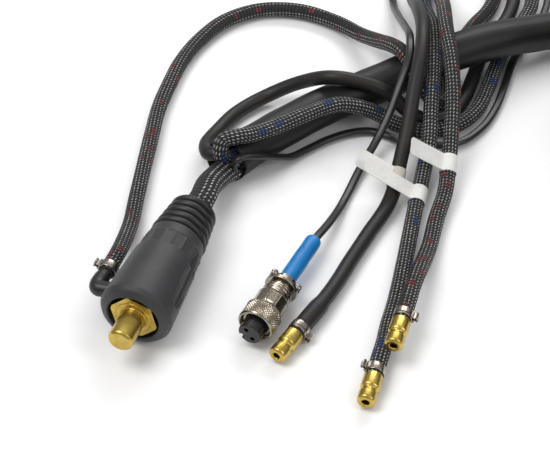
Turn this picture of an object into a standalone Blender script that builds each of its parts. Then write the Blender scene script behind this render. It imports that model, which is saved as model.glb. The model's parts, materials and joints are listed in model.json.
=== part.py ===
"""Water-cooled TIG torch with its hose pack and machine-side connectors.

Metres, +Z up.  The plug end lies at -X, the torch rests on the coiled cover at +X.
Sizes, outlines and routes below are in millimetres, and the helpers scale them by MM.
"""
import math

import bmesh
import bpy
from mathutils import Vector

MM = 0.001
GAP = 0.3                      # clearance between touching pieces, mm
TURN_STEPS = 24                # sides of a turned piece
MERGE = 0.00001

# ---- driving dimensions, mm ----------------------------------------------------------
COVER_R = 11.0                 # large cable cover
POWER_R = 7.0                  # braided power and water cable
WATER_R = 4.3                  # cooling water hoses
GAS_R = 4.0                    # gas hose
LEAD_R = 2.3                   # switch lead
NIPPLE_LENGTH = 18.0

PLUG_FACE = (-254.0, -55.3, 19.3)
PLUG_HEADING = 249.9           # degrees from +X, the way the pin points
PIN_R = 6.5
PIN_REACH = 21.5
HEX_CORNER_R = 13.0
HEX_PHASE = 13.0
SLEEVE_NOSE_R = 19.2
SLEEVE_LENGTH = 51.6
MOUTH_R = 13.5
BOOT_LENGTH = 24.4
BOOT_RIBS = 5
ELBOW_R = 4.2
ELBOW_PORT_Z = -10.5

AVIATION_FACE = (-198.7, -61.9, 9.9)
AVIATION_HEADING = 243.6
CONTACT_R = 2.9                # the contacts' distance from the plug's axis
CONTACT_ANGLE = 35.0
KEY_ANGLE = 302.0
SADDLE_R = 6.1                 # cable clamp behind the aviation plug's gland
SADDLE_FRONT = -36.7
SADDLE_BACK = -40.7
SADDLE_TURN = -21.0
SCREW_Y = 7.0
SCREW_Z = -38.85

COIL_CENTRE = (154.0, 78.0)
COIL_INNER_TURN = 119.3        # centreline radii of the two turns side by side
COIL_OUTER_TURN = 141.3
COIL_LIFT = 1.9                # the ties under the coil hold it off the ground
LOW_TIE_ANGLE = 0.0
TALL_TIE_ANGLE = 165.0
TIE_WIDTH = 12.0
TIE_THICKNESS = 1.2
TIE_GAP = 0.6

TORCH_BASE = (239.0, 115.0)    # where the cover meets the handle
HANDLE_R = 14.0
HANDLE_LENGTH = 190.0
HEAD_Z = 214.0                 # centre of the head along the handle's axis
HEAD_ANGLE = 70.0
TAIL_BEND_R = 86.3             # last bend of the cover, and its centre
TAIL_BEND_CENTRE = (152.7, 133.0)
TAIL_BEND_START = 91.35

RING_BOTTOM = COIL_LIFT
RING_TOP = COIL_LIFT + 4.0 * COVER_R
TAIL_Z = RING_TOP + GAP + COVER_R
TORCH_Z = RING_TOP + GAP + HANDLE_R

# ---- cord routes, mm -----------------------------------------------------------------
COVER_ROUTE = [
    (-210, 67, 11), (-193, 82, 11), (-172, 100, 11), (-147, 117.5, 11.2), (-124, 129.5, 13),
    (-104, 138, 17.5), (-83, 146, 21.3), (-59, 157, 21), (-36, 168, 17), (-6, 181, 12.5),
    (19, 190, 12.2), (43, 197.5, 12.9)]
POWER_ROUTE = [
    (-209.6, 62.3, 8.3), (-213.5, 57.5, 9.5), (-218, 48, 13), (-221.4, 38, 16.8), (-223.8, 27.1, 19.1),
    (-227.6, 16.8, 19.3)]
GAS_ROUTE = [
    (-219, 66.5, 13), (-222.5, 72, 11), (-223.5, 82, 8), (-218, 96, 5), (-207, 113, 4.3),
    (-190, 125.5, 6), (-171.5, 125, 16), (-155, 116, 27), (-142, 114.5, 26), (-128, 113, 21.8),
    (-120, 112.5, 15.5), (-111, 109, 7.5), (-99, 106, 4.3), (-87, 111.5, 4.3), (-78.5, 126, 4.3),
    (-73, 142, 4.3), (-67, 161, 4.3), (-58, 181, 4.3), (-47.5, 200, 4.3), (-42, 222, 4.3),
    (-46, 243, 4.3), (-60, 256, 8), (-76, 257, 14), (-88, 251, 14), (-98, 236, 13.5),
    (-104.5, 216, 14), (-105, 191, 24), (-104, 166, 36), (-103.5, 139, 42), (-106, 118, 39),
    (-110, 100, 31), (-114, 80, 21), (-118, 64, 14), (-123, 44, 7), (-127, 34, 4.8),
    (-136, 17, 4.3), (-147, -5, 4.4), (-155, -22.3, 4.8), (-162.6, -36.4, 5.5), (-175.8, -57.2, 5.6)]
WATER_IN_ROUTE = [
    (-216, 61, 20.6), (-216.5, 61.3, 24), (-213.5, 62.2, 27.8), (-207, 64.2, 28.6),
    (-199, 68, 26.9), (-186, 76, 25.4), (-170, 86.5, 24.8), (-160, 94, 23.2), (-151, 98.8, 21.9),
    (-141, 102, 17.8), (-134, 104, 13.5), (-127, 104.5, 9), (-118, 102, 5), (-102, 96.5, 4.6),
    (-85, 101.5, 4.6), (-73, 114, 4.6), (-65.5, 132, 4.6), (-59.5, 150, 4.6), (-52, 170.5, 4.6),
    (-41, 190.5, 4.6), (-32.5, 211, 4.6), (-31, 232, 4.6), (-38, 253, 4.6), (-55, 267, 4.6),
    (-76, 265, 4.6), (-90, 249, 4.6), (-96, 226, 4.6), (-97, 201, 10), (-97, 176, 22),
    (-96.5, 151, 34), (-97, 134, 34), (-98.5, 114, 28.5), (-100.5, 94, 21), (-102, 77, 14),
    (-106, 59, 7), (-110, 41, 5.2), (-114, 21, 4.6), (-119, -5, 4.6), (-125, -34, 4.6),
    (-129.6, -51.5, 4.9), (-133, -67.2, 5.5), (-137.9, -85.1, 5.6)]
WATER_OUT_ROUTE = [
    (-271.1, -26.2, 17), (-267.0, -14.9, 17), (-264.8, -2.5, 13), (-262.7, 14, 7.5), (-261.5, 26, 4.8),
    (-260, 42, 4.6), (-258, 61, 4.6), (-256, 78, 4.6), (-254, 96, 4.6), (-251, 118, 4.6),
    (-246, 138, 4.6), (-240, 158, 4.6), (-231, 176, 4.6), (-216, 195, 4.6), (-195, 206, 4.6),
    (-171, 205, 4.6), (-150, 194, 5), (-136, 177, 9), (-126, 158, 19), (-120, 144, 27.5),
    (-114.5, 133, 31), (-109, 124.5, 27), (-103, 117, 17.5), (-95, 115.5, 8.5),
    (-89.5, 124.5, 4.9), (-88, 138, 4.6), (-85, 153, 4.6), (-78.5, 172, 4.6), (-69, 190, 4.6),
    (-58, 207, 4.6), (-53, 225, 4.6), (-58, 240, 4.6), (-70, 246, 4.6), (-82, 240, 4.6),
    (-86.5, 225, 6), (-87.5, 206, 14), (-88.5, 186, 25), (-90, 164, 38), (-90.5, 138, 42.5),
    (-89, 118, 39), (-88.5, 100, 30), (-90, 81, 20), (-92, 64, 12), (-95, 45, 7), (-101, 25, 5),
    (-105.6, 5, 5.6), (-109, -7, 8), (-112.2, -17.5, 11.4), (-116, -30, 13.8), (-123.5, -56.3, 14.2)]
CONTROL_ROUTE = [
    (-207.5, 56.5, 18.5), (-202, 57.5, 20.5), (-194, 62.5, 16.5), (-185, 69.5, 9.5),
    (-177, 76, 4), (-168, 83.5, 2.6), (-156, 92, 2.6), (-144, 97.5, 2.6), (-134, 99, 2.6),
    (-125, 96, 2.6), (-116, 91, 2.6), (-100, 86.5, 2.6), (-83, 90, 2.6), (-70, 102.5, 2.6),
    (-61, 119.5, 2.6), (-54.5, 139, 2.6), (-47.5, 161, 2.6), (-38, 181, 2.6), (-27, 201, 2.6),
    (-21, 224, 2.6), (-24, 249, 2.6), (-38, 269, 2.6), (-60, 277, 2.6), (-86, 273, 2.6),
    (-106, 259, 2.6), (-115, 236, 2.6), (-115, 211, 5), (-114, 186, 16), (-112, 161, 28),
    (-110.5, 138, 37.5), (-112, 121, 36), (-117, 108, 29), (-124, 94, 17), (-131, 82, 9),
    (-139, 68, 4), (-150, 40, 2.6), (-157.5, 21, 6.6), (-165.4, 5.1, 9.9)]

for old in list(bpy.data.objects):
    bpy.data.objects.remove(old)

PARTS = bpy.data.collections.new("torch_lead")
CUTTERS = bpy.data.collections.new("cutters")
for collection in (PARTS, CUTTERS):
    bpy.context.scene.collection.children.link(collection)


# ---- materials -----------------------------------------------------------------------
FINISHES = {
    "rubber": ((0.045, 0.046, 0.05), 0.0, 0.62),
    "boot_rubber": ((0.03, 0.03, 0.032), 0.0, 0.6),
    "cover": ((0.022, 0.022, 0.024), 0.0, 0.5),
    "braid": ((0.02, 0.02, 0.022), 0.0, 0.7),
    "gas_rubber": ((0.035, 0.032, 0.03), 0.0, 0.65),
    "lead_black": ((0.018, 0.018, 0.018), 0.0, 0.5),
    "brass": ((0.75, 0.52, 0.16), 1.0, 0.25),
    "nickel": ((0.66, 0.63, 0.57), 1.0, 0.25),
    "steel": ((0.62, 0.6, 0.56), 1.0, 0.3),
    "insert_black": ((0.03, 0.03, 0.032), 0.0, 0.45),
    "sleeve_blue": ((0.0, 0.17, 0.68), 0.0, 0.4),
    "label": ((0.7, 0.69, 0.64), 0.0, 0.6),
    "handle_black": ((0.025, 0.025, 0.027), 0.0, 0.45),
    "switch_grey": ((0.16, 0.16, 0.17), 0.0, 0.45),
    "copper": ((0.78, 0.42, 0.27), 1.0, 0.35),
    "tungsten": ((0.5, 0.5, 0.5), 1.0, 0.4),
    "ceramic": ((0.72, 0.38, 0.3), 0.0, 0.35),
    "head_black": ((0.02, 0.02, 0.021), 0.0, 0.4),
    "strap": ((0.02, 0.02, 0.02), 0.0, 0.75),
}


def finish(obj, slot):
    """Give the object a material of its own in the named finish."""
    colour, metallic, roughness = FINISHES[slot]
    mat = bpy.data.materials.new(obj.name + "_" + slot)
    mat.use_nodes = True
    shader = mat.node_tree.nodes["Principled BSDF"]
    shader.inputs["Base Color"].default_value = (*colour, 1.0)
    shader.inputs["Metallic"].default_value = metallic
    shader.inputs["Roughness"].default_value = roughness
    obj.data.materials.append(mat)
    return obj


# ---- frames --------------------------------------------------------------------------
def empty(name, place, rotation, parent=None):
    """An empty at a place in millimetres, with its rotation as a Euler in radians."""
    frame = bpy.data.objects.new(name, None)
    PARTS.objects.link(frame)
    frame.location = Vector(place) * MM
    frame.rotation_euler = rotation
    frame.parent = parent
    return frame


def level_frame(name, place, heading):
    """A frame whose +Z runs level along the heading, with -X up."""
    return empty(name, place, (0.0, math.radians(90.0), math.radians(heading)))


def smooth_route(points, samples=24):
    """A centripetal Catmull-Rom curve through the route's points."""
    knots = [Vector(p) for p in points]
    knots = [2 * knots[0] - knots[1], *knots, 2 * knots[-1] - knots[-2]]
    line = []
    for i in range(1, len(knots) - 2):
        p0, p1, p2, p3 = knots[i - 1:i + 3]
        t1 = (p1 - p0).length ** 0.5
        t2 = t1 + (p2 - p1).length ** 0.5
        t3 = t2 + (p3 - p2).length ** 0.5
        for k in range(samples):
            t = t1 + (t2 - t1) * k / samples
            a1 = p0.lerp(p1, t / t1)
            a2 = p1.lerp(p2, (t - t1) / (t2 - t1))
            a3 = p2.lerp(p3, (t - t2) / (t3 - t2))
            b1 = a1.lerp(a2, t / t2)
            b2 = a2.lerp(a3, (t - t1) / (t3 - t1))
            line.append(b1.lerp(b2, (t - t1) / (t2 - t1)))
    line.append(knots[-2])
    return line


def thinned(line, count):
    """Fewer points on the same curve, closer together where it bends tightly."""
    reach = [0.0]
    for i in range(1, len(line)):
        step = (line[i] - line[i - 1]).length
        turn = 0.0
        if 1 < i < len(line) - 1:
            before = (line[i] - line[i - 1]).normalized()
            after = (line[i + 1] - line[i]).normalized()
            turn = before.angle(after, 0.0)
        reach.append(reach[-1] + math.sqrt(step * (turn + step / 150.0)))
    points = []
    j = 0
    for k in range(count):
        want = reach[-1] * k / (count - 1)
        while j < len(reach) - 2 and reach[j + 1] < want:
            j += 1
        span = max(reach[j + 1] - reach[j], 1e-9)
        points.append(line[j].lerp(line[j + 1], min(1.0, (want - reach[j]) / span)))
    return points


def route_frame(name, route, near):
    """A frame on the route at its point nearest to a place: +Z runs along the route and
    +X points up."""
    line = smooth_route(route)
    best = min(range(1, len(line) - 1), key=lambda i: (line[i] - Vector(near)).length)
    along = (line[best + 1] - line[best - 1]).normalized()
    return empty(name, line[best], along.to_track_quat("Z", "X").to_euler())


def end_frame(name, route):
    """A level frame at the end of a route, with +Z leading on from it and -X up."""
    last = Vector(route[-1])
    way = last - Vector(route[-2])
    return level_frame(name, last, math.degrees(math.atan2(way.y, way.x)))


# ---- shapes --------------------------------------------------------------------------
def place(obj, parent, at=(0, 0, 0), turn=(0, 0, 0), collection=PARTS):
    obj.location = Vector(at) * MM
    obj.rotation_euler = [math.radians(a) for a in turn]
    obj.parent = parent
    collection.objects.link(obj)
    return obj


def turned(name, profile, parent=None, closed=False, steps=TURN_STEPS, collection=PARTS, **where):
    """A (radius, z) profile turned about Z.  It runs down the outer side, and back up the
    inner side where it is closed."""
    bm = bmesh.new()
    verts = [bm.verts.new((r * MM, 0.0, z * MM)) for r, z in profile]
    for a, b in zip(verts, verts[1:]):
        bm.edges.new((a, b))
    if closed:
        bm.edges.new((verts[-1], verts[0]))
    mesh = bpy.data.meshes.new(name)
    bm.to_mesh(mesh)
    bm.free()
    obj = place(bpy.data.objects.new(name, mesh), parent, collection=collection, **where)
    screw = obj.modifiers.new("turn", "SCREW")
    screw.axis = "Z"
    screw.angle = math.radians(360.0)
    screw.steps = steps
    screw.render_steps = steps
    screw.use_merge_vertices = True
    screw.merge_threshold = MERGE
    return obj


def rod(name, radius, z0, z1, parent, **options):
    """A plain round bar between two heights."""
    return turned(name, [(0, z1), (radius, z1), (radius, z0), (0, z0)], parent, **options)


def pipe(name, outer, inner, z0, z1, parent, **options):
    """A plain round tube between two heights."""
    profile = [(outer, z1), (outer, z0), (inner, z0), (inner, z1)]
    return turned(name, profile, parent, closed=True, **options)


def block(name, low, high, parent, collection=PARTS, turn=(0, 0, 0), about=(0, 0, 0)):
    """A box from its low corner to its high one, turned about a point of its parent."""
    low = Vector(low)
    high = Vector(high)
    bm = bmesh.new()
    bmesh.ops.create_cube(bm, size=1.0)
    bmesh.ops.scale(bm, vec=(high - low) * MM, verts=bm.verts)
    bmesh.ops.translate(bm, vec=(low + high) / 2.0 * MM, verts=bm.verts)
    mesh = bpy.data.meshes.new(name)
    bm.to_mesh(mesh)
    bm.free()
    return place(bpy.data.objects.new(name, mesh), parent, about, turn, collection)


def prism(name, sides, radius, z0, z1, phase, parent, collection=PARTS):
    """A regular prism along Z, with its first corner at the phase angle from +X."""
    bm = bmesh.new()
    bmesh.ops.create_cone(bm, cap_ends=True, segments=sides, radius1=radius * MM,
                          radius2=radius * MM, depth=(z1 - z0) * MM)
    bmesh.ops.translate(bm, vec=(0, 0, (z0 + z1) / 2.0 * MM), verts=bm.verts)
    mesh = bpy.data.meshes.new(name)
    bm.to_mesh(mesh)
    bm.free()
    return place(bpy.data.objects.new(name, mesh), parent, turn=(0, 0, phase), collection=collection)


def tube(name, line, radius, parent=None, resolution=2):
    """A round cord or bent rod along a line of points in millimetres."""
    curve = bpy.data.curves.new(name, "CURVE")
    curve.dimensions = "3D"
    curve.bevel_depth = radius * MM
    curve.bevel_resolution = resolution
    curve.render_resolution_u = 0
    curve.use_fill_caps = True
    spline = curve.splines.new("POLY")
    spline.points.add(len(line) - 1)
    for point, knot in zip(spline.points, line):
        point.co = (*(Vector(knot) * MM), 1.0)
    return place(bpy.data.objects.new(name, curve), parent)


def tool(obj):
    """Mark an object as a cutter or a lump to be joined."""
    obj.hide_render = True
    obj.display_type = "WIRE"
    return obj


def combine(target, operation, *tools):
    for number, other in enumerate(tools):
        boolean = target.modifiers.new(operation.lower() + str(number), "BOOLEAN")
        boolean.operation = operation
        boolean.solver = "EXACT"
        boolean.object = tool(other)
    return target


def cut(target, *tools):
    return combine(target, "DIFFERENCE", *tools)


def join(target, *lumps):
    return combine(target, "UNION", *lumps)


def plate(name, outline, z0, z1, parent, collection=PARTS):
    """A flat outline filled and thickened between two heights, as a mesh that can be cut."""
    curve = bpy.data.curves.new(name, "CURVE")
    curve.dimensions = "2D"
    curve.fill_mode = "BOTH"
    curve.extrude = (z1 - z0) / 2.0 * MM
    spline = curve.splines.new("POLY")
    spline.points.add(len(outline) - 1)
    for point, (x, y) in zip(spline.points, outline):
        point.co = (x * MM, y * MM, 0.0, 1.0)
    spline.use_cyclic_u = True
    flat = bpy.data.objects.new(name, curve)
    collection.objects.link(flat)
    graph = bpy.context.evaluated_depsgraph_get()
    mesh = bpy.data.meshes.new_from_object(flat.evaluated_get(graph))
    bm = bmesh.new()
    bm.from_mesh(mesh)
    bmesh.ops.remove_doubles(bm, verts=bm.verts, dist=MERGE)
    bm.to_mesh(mesh)
    bm.free()
    bpy.data.objects.remove(flat)
    obj = bpy.data.objects.new(name, mesh)
    return place(obj, parent, at=(0, 0, (z0 + z1) / 2.0), collection=collection)


def ribs(count, start, pitch, crest, root, land):
    """Profile points of rounded ribs, one after the other downwards from a height.
    crest and root are functions of the rib's number."""
    points = []
    for k in range(count):
        top = start - k * pitch
        points += [(root(k), top), (crest(k), top - 0.6), (crest(k), top - land)]
        points.append((root(k), top - pitch + 0.9))
    return points


# ---- power plug ----------------------------------------------------------------------
def power_plug():
    plug = level_frame("plug_frame", PLUG_FACE, PLUG_HEADING)
    end = -SLEEVE_LENGTH

    sleeve = turned("plug_sleeve", [
        (MOUTH_R + 0.5, 5.2), (17.6, 3.2), (SLEEVE_NOSE_R, 1.2), (16.7, -35.2), (16.1, -35.6),
        (15.9, -45.0), (15.2, end), (9.4, end), (9.4, -17.4), (MOUTH_R, -17.4), (MOUTH_R, 4.8)],
        plug, closed=True, steps=40)
    port = rod("plug_port_cutter", ELBOW_R + 0.4, 10.0, 26.0, plug, collection=CUTTERS,
               at=(1.4, 0, ELBOW_PORT_Z), turn=(90, 0, 0))
    finish(cut(sleeve, port), "rubber")

    pin = turned("plug_pin", [
        (0, PIN_REACH), (PIN_R - 0.8, PIN_REACH), (PIN_R, PIN_REACH - 0.8), (PIN_R, -10), (0, -10)],
        plug)
    corners = prism("plug_hex_lump", 6, HEX_CORNER_R, -9.9, 4.2, HEX_PHASE, plug, CUTTERS)
    finish(join(pin, corners), "brass")

    finish(turned("plug_adaptor", [
        (0, -10.3), (12.7, -10.3), (12.7, -16.4), (9.0, -17.0), (9.0, -44), (0, -44)], plug), "brass")
    finish(rod("cable_ferrule", 6.4, -71.0, -44.3, plug), "copper")

    first = end - 0.4
    pitch = BOOT_LENGTH / BOOT_RIBS
    outline = ribs(BOOT_RIBS, first, pitch, lambda k: 15.0 - 0.62 * k, lambda k: 13.6 - 0.62 * k,
                   pitch - 1.6)
    last = first - BOOT_LENGTH
    outline += [(11.0, last), (POWER_R + 0.4, last), (POWER_R + 0.4, first)]
    finish(turned("plug_boot", outline, plug, closed=True), "boot_rubber")

    elbow_line = smooth_route([
        (1.4, -13.3, ELBOW_PORT_Z), (1.7, -18.5, ELBOW_PORT_Z), (2.0, -23.6, ELBOW_PORT_Z),
        (2.2, -26.4, -12.0), (2.3, -26.9, -15.2), (2.3, -26.2, -20.5)])
    elbow = tube("side_elbow", thinned(elbow_line, 14), ELBOW_R, plug, 3)
    finish(elbow, "boot_rubber")


# ---- hose ends -----------------------------------------------------------------------
def ear_clamp(name, hose_r, frame, ear_turn):
    """A one-ear clamp round the last millimetres of a hose, whose end face is at z = 0."""
    band = pipe(name, hose_r + 1.15, hose_r + 0.45, -5.6, -0.6, frame)
    ear = block(name + "_ear_lump", (hose_r + 0.7, -1.6, -5.0), (hose_r + 3.4, 1.6, -1.2), frame,
                CUTTERS, turn=(0, 0, ear_turn))
    return finish(join(band, ear), "steel")


def nipple(name, frame):
    """A quick-connect nipple, its rear face at the hose's end and its tip 18 mm on."""
    tip = NIPPLE_LENGTH
    outline = [(3.4, tip), (4.5, tip - 0.7), (4.7, tip - 1.5), (4.7, 11.9), (3.9, 11.2), (3.9, 9.9),
               (4.5, 9.3), (4.9, 8.5), (4.9, 0.9), (4.3, GAP), (1.9, GAP), (1.9, tip)]
    return finish(turned(name, outline, frame, closed=True), "brass")


def hose_ends():
    for name, route, hose_r, ear_turn in (
            ("gas", GAS_ROUTE, GAS_R, 68), ("water_in", WATER_IN_ROUTE, WATER_R, 238),
            ("water_out", WATER_OUT_ROUTE, WATER_R, 98)):
        frame = end_frame(name + "_end_frame", route)
        ear_clamp(name + "_clamp", hose_r, frame, ear_turn)
        nipple(name + "_nipple", frame)
    start = level_frame("elbow_hose_frame", WATER_OUT_ROUTE[0], PLUG_HEADING)
    ear_clamp("elbow_clamp", WATER_R, start, 250)


# ---- aviation plug -------------------------------------------------------------------
def saddle_outline(side):
    """Half of the cable clamp seen along the plug: two ears and half a barrel."""
    ear, split, reach, bore = 3.2, 0.25, 8.7, 4.75
    first = math.degrees(math.asin(ear / SADDLE_R))
    outline = [(split * side, reach), (ear * side, reach)]
    for radius, start, stop in ((SADDLE_R, first, 180.0 - first), (bore, 177.0, 3.0)):
        for k in range(11):
            angle = math.radians(start + (stop - start) * k / 10.0)
            outline.append((side * radius * math.sin(angle), radius * math.cos(angle)))
        if radius == SADDLE_R:
            outline += [(ear * side, -reach), (split * side, -reach)]
    return outline


def aviation_plug():
    frame = level_frame("aviation_frame", AVIATION_FACE, AVIATION_HEADING)

    insert = rod("avi_insert", 6.2, -19.7, 0.0, frame)
    tools = [block("avi_key_cutter", (3.6, -1.3, -6.0), (8.0, 1.3, 1.0), frame, CUTTERS,
                   turn=(0, 0, KEY_ANGLE))]
    turn = math.radians(CONTACT_ANGLE)
    for letter, side in (("a", -CONTACT_R), ("b", CONTACT_R)):
        spot = (side * math.cos(turn), side * math.sin(turn), 0)
        tools.append(rod("avi_hole_cutter_" + letter, 1.2, -16.0, 1.0, frame, steps=12,
                         collection=CUTTERS, at=spot))
        finish(rod("avi_contact_" + letter, 0.8, -15.6, -1.5, frame, steps=12, at=spot), "brass")
    finish(cut(insert, *tools), "insert_black")

    finish(turned("avi_ring", [
        (8.9, -6.0), (9.7, -6.8), (9.7, -16.2), (8.9, -17.0), (7.3, -17.0), (7.3, -14.9),
        (8.2, -14.9), (8.2, -6.0)], frame, closed=True, steps=32), "nickel")
    finish(turned("avi_body", [
        (7.8, -12.6), (7.8, -14.6), (7.0, -14.6), (7.0, -17.3), (8.3, -17.4), (8.4, -26.0),
        (7.8, -26.7), (7.8, -31.1), (5.0, -31.1), (5.0, -20.0), (6.5, -20.0), (6.5, -12.6)],
        frame, closed=True), "nickel")

    back = empty("gland_frame", (0, 0, 0), (0, 0, math.radians(SADDLE_TURN)), frame)
    gland = turned("avi_gland", [
        (7.2, -31.4), (7.2, -32.5), (6.0, -33.0), (6.0, -34.3), (8.8, -34.7), (8.8, SADDLE_FRONT),
        (4.75, SADDLE_FRONT), (4.75, -31.4)], back, closed=True)
    for side, front in ((1, SADDLE_FRONT + 0.3), (-1, SADDLE_FRONT - GAP)):
        half = plate("avi_clamp_bar" if side < 0 else "gland_saddle_lump", saddle_outline(side),
                     SADDLE_BACK, front, back, PARTS if side < 0 else CUTTERS)
        if side > 0:
            half = join(gland, half)
        holes = [rod("screw_hole_cutter", 1.2, -8.0, 8.0, back, steps=12, collection=CUTTERS,
                     at=(0, y, SCREW_Z), turn=(0, 90, 0)) for y in (-SCREW_Y, SCREW_Y)]
        finish(cut(half, *holes), "nickel")
    for letter, y in (("a", -SCREW_Y), ("b", SCREW_Y)):
        screw = turned("avi_clamp_screw_" + letter, [
            (0, 4.9), (1.3, 4.9), (1.7, 4.4), (1.7, 3.5), (0.9, 3.5), (0.9, -2.6), (0, -2.6)],
            back, steps=16, at=(0, y, SCREW_Z), turn=(0, -90, 0))
        finish(screw, "steel")

    finish(turned("lead_sleeve", [
        (3.9, -37.1), (4.4, -37.6), (4.4, -73.7), (3.7, -74.5), (2.7, -74.5), (2.7, -37.1)],
        frame, closed=True), "sleeve_blue")


# ---- labels --------------------------------------------------------------------------
def flag_label(name, route, near, hose_r, length, width, rise, sweep):
    """A blank label: a band round the hose and a flag that leaves its upper side."""
    frame = route_frame(name + "_frame", route, near)
    band = pipe(name, hose_r + 0.85, hose_r + 0.45, -width / 2.0, width / 2.0, frame, steps=16)
    hinge = (hose_r + 0.6) * math.sqrt(0.5)
    flag = block(name + "_flag_lump", (-0.25, 0.0, -width / 2.0 + 0.1), (0.25, length, width / 2.0 - 0.1),
                 frame, CUTTERS, turn=(sweep, 0, -rise), about=(hinge, hinge, 0))
    flag.rotation_mode = "ZXY"
    return finish(join(band, flag), "label")


def labels():
    flag_label("label_water_in", WATER_IN_ROUTE, (-109.6, 42.0, 5.6), WATER_R, 30.0, 10.5, 31.0, 0.0)
    flag_label("label_gas", GAS_ROUTE, (-121.0, 52.5, 9.5), GAS_R, 20.0, 11.0, 22.0, -12.0)
    flag_label("label_water_out", WATER_OUT_ROUTE, (-92.6, 60.5, 11.3), WATER_R, 23.0, 10.5, 40.0, 0.0)


# ---- cords ---------------------------------------------------------------------------
def arc(centre, radius, start, stop, z0, z1, count):
    """Points of a level arc, angles in degrees, that may climb from z0 to z1."""
    points = []
    for k in range(count):
        share = k / (count - 1)
        angle = math.radians(start + (stop - start) * share)
        climb = share * share * (3.0 - 2.0 * share)
        points.append((centre[0] + radius * math.cos(angle), centre[1] + radius * math.sin(angle),
                       z0 + (z1 - z0) * climb))
    return points


def cords():
    for name, route, radius, count, slot in (
            ("cover_lead", COVER_ROUTE, COVER_R, 30, "cover"),
            ("power_cable", POWER_ROUTE, POWER_R, 10, "braid"),
            ("gas_hose", GAS_ROUTE, GAS_R, 72, "gas_rubber"),
            ("water_in_hose", WATER_IN_ROUTE, WATER_R, 72, "braid"),
            ("water_out_hose", WATER_OUT_ROUTE, WATER_R, 76, "braid"),
            ("control_lead", CONTROL_ROUTE, LEAD_R, 66, "lead_black")):
        finish(tube(name, thinned(smooth_route(route), count), radius), slot)

    corner = COVER_R * 0.8
    inner = COIL_INNER_TURN - COVER_R
    outer = COIL_OUTER_TURN + COVER_R
    ring = []
    corners = (
        (outer - corner, RING_TOP - corner, 90), (outer - corner, RING_BOTTOM + corner, 0),
        (inner + corner, RING_BOTTOM + corner, 270), (inner + corner, RING_TOP - corner, 180))
    for x, z, start in corners:
        for k in range(3):
            angle = math.radians(start - 45 * k)
            ring.append((x + corner * math.cos(angle), z + corner * math.sin(angle)))
    coil = turned("cover_coil", ring, closed=True, steps=48, at=(*COIL_CENTRE, 0))
    finish(coil, "cover")

    tail = arc(COIL_CENTRE, COIL_OUTER_TURN, 215.0, TAIL_BEND_START, TAIL_Z, TAIL_Z, 18)
    tail += arc(TAIL_BEND_CENTRE, TAIL_BEND_R, TAIL_BEND_START, 0.0, TAIL_Z, TORCH_Z, 14)[1:]
    tail.append((TORCH_BASE[0], TORCH_BASE[1] + GAP, TORCH_Z))
    finish(tube("cover_tail", tail, COVER_R), "cover")


def strap_corners(tall):
    """The corners a strap goes round: centre, radius, first and last angle.  X points
    outwards from the middle of the coil's section and Y up.  The tall strap also goes over
    the cover that lies on the coil."""
    half = 2.0 * COVER_R
    corner = half * 0.4
    reach = half - corner
    lower = [(-reach, -reach, corner, 180.0, 270.0), (reach, -reach, corner, 270.0, 360.0)]
    if not tall:
        return [(reach, reach, corner, 0.0, 90.0), (-reach, reach, corner, 90.0, 180.0), *lower]
    top = TAIL_Z - (RING_TOP + RING_BOTTOM) / 2.0
    across = COVER_R + reach
    climb = top - reach
    lean = math.atan2(climb, across) + math.asin((COVER_R - corner) / math.hypot(across, climb))
    lean = math.degrees(lean) + 90.0
    return [(COVER_R, top, COVER_R, 0.0, lean), (-reach, reach, corner, lean, 180.0), *lower]


def coil_ties():
    """Straps round the coil's section: an outer and an inner outline, filled."""
    middle = (COIL_INNER_TURN + COIL_OUTER_TURN) / 2.0
    for letter, angle, tall in (("a", LOW_TIE_ANGLE, False), ("b", TALL_TIE_ANGLE, True)):
        curve = bpy.data.curves.new("coil_tie_" + letter, "CURVE")
        curve.dimensions = "2D"
        curve.fill_mode = "BOTH"
        curve.extrude = TIE_WIDTH / 2.0 * MM
        curve.render_resolution_u = 0
        for grow in (TIE_GAP + TIE_THICKNESS, TIE_GAP):
            spline = curve.splines.new("POLY")
            outline = []
            for x, y, radius, start, stop in strap_corners(tall):
                for k in range(7):
                    turn = math.radians(start + (stop - start) * k / 6.0)
                    outline.append((x + (radius + grow) * math.cos(turn),
                                    y + (radius + grow) * math.sin(turn)))
            spline.points.add(len(outline) - 1)
            for point, (x, y) in zip(spline.points, outline):
                point.co = (x * MM, y * MM, 0.0, 1.0)
            spline.use_cyclic_u = True
        way = math.radians(angle)
        tie = bpy.data.objects.new(curve.name, curve)
        PARTS.objects.link(tie)
        tie.location = Vector((COIL_CENTRE[0] + middle * math.cos(way),
                               COIL_CENTRE[1] + middle * math.sin(way),
                               (RING_TOP + RING_BOTTOM) / 2.0)) * MM
        tie.rotation_euler = (math.radians(90.0), 0.0, way)
        finish(tie, "strap")


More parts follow.
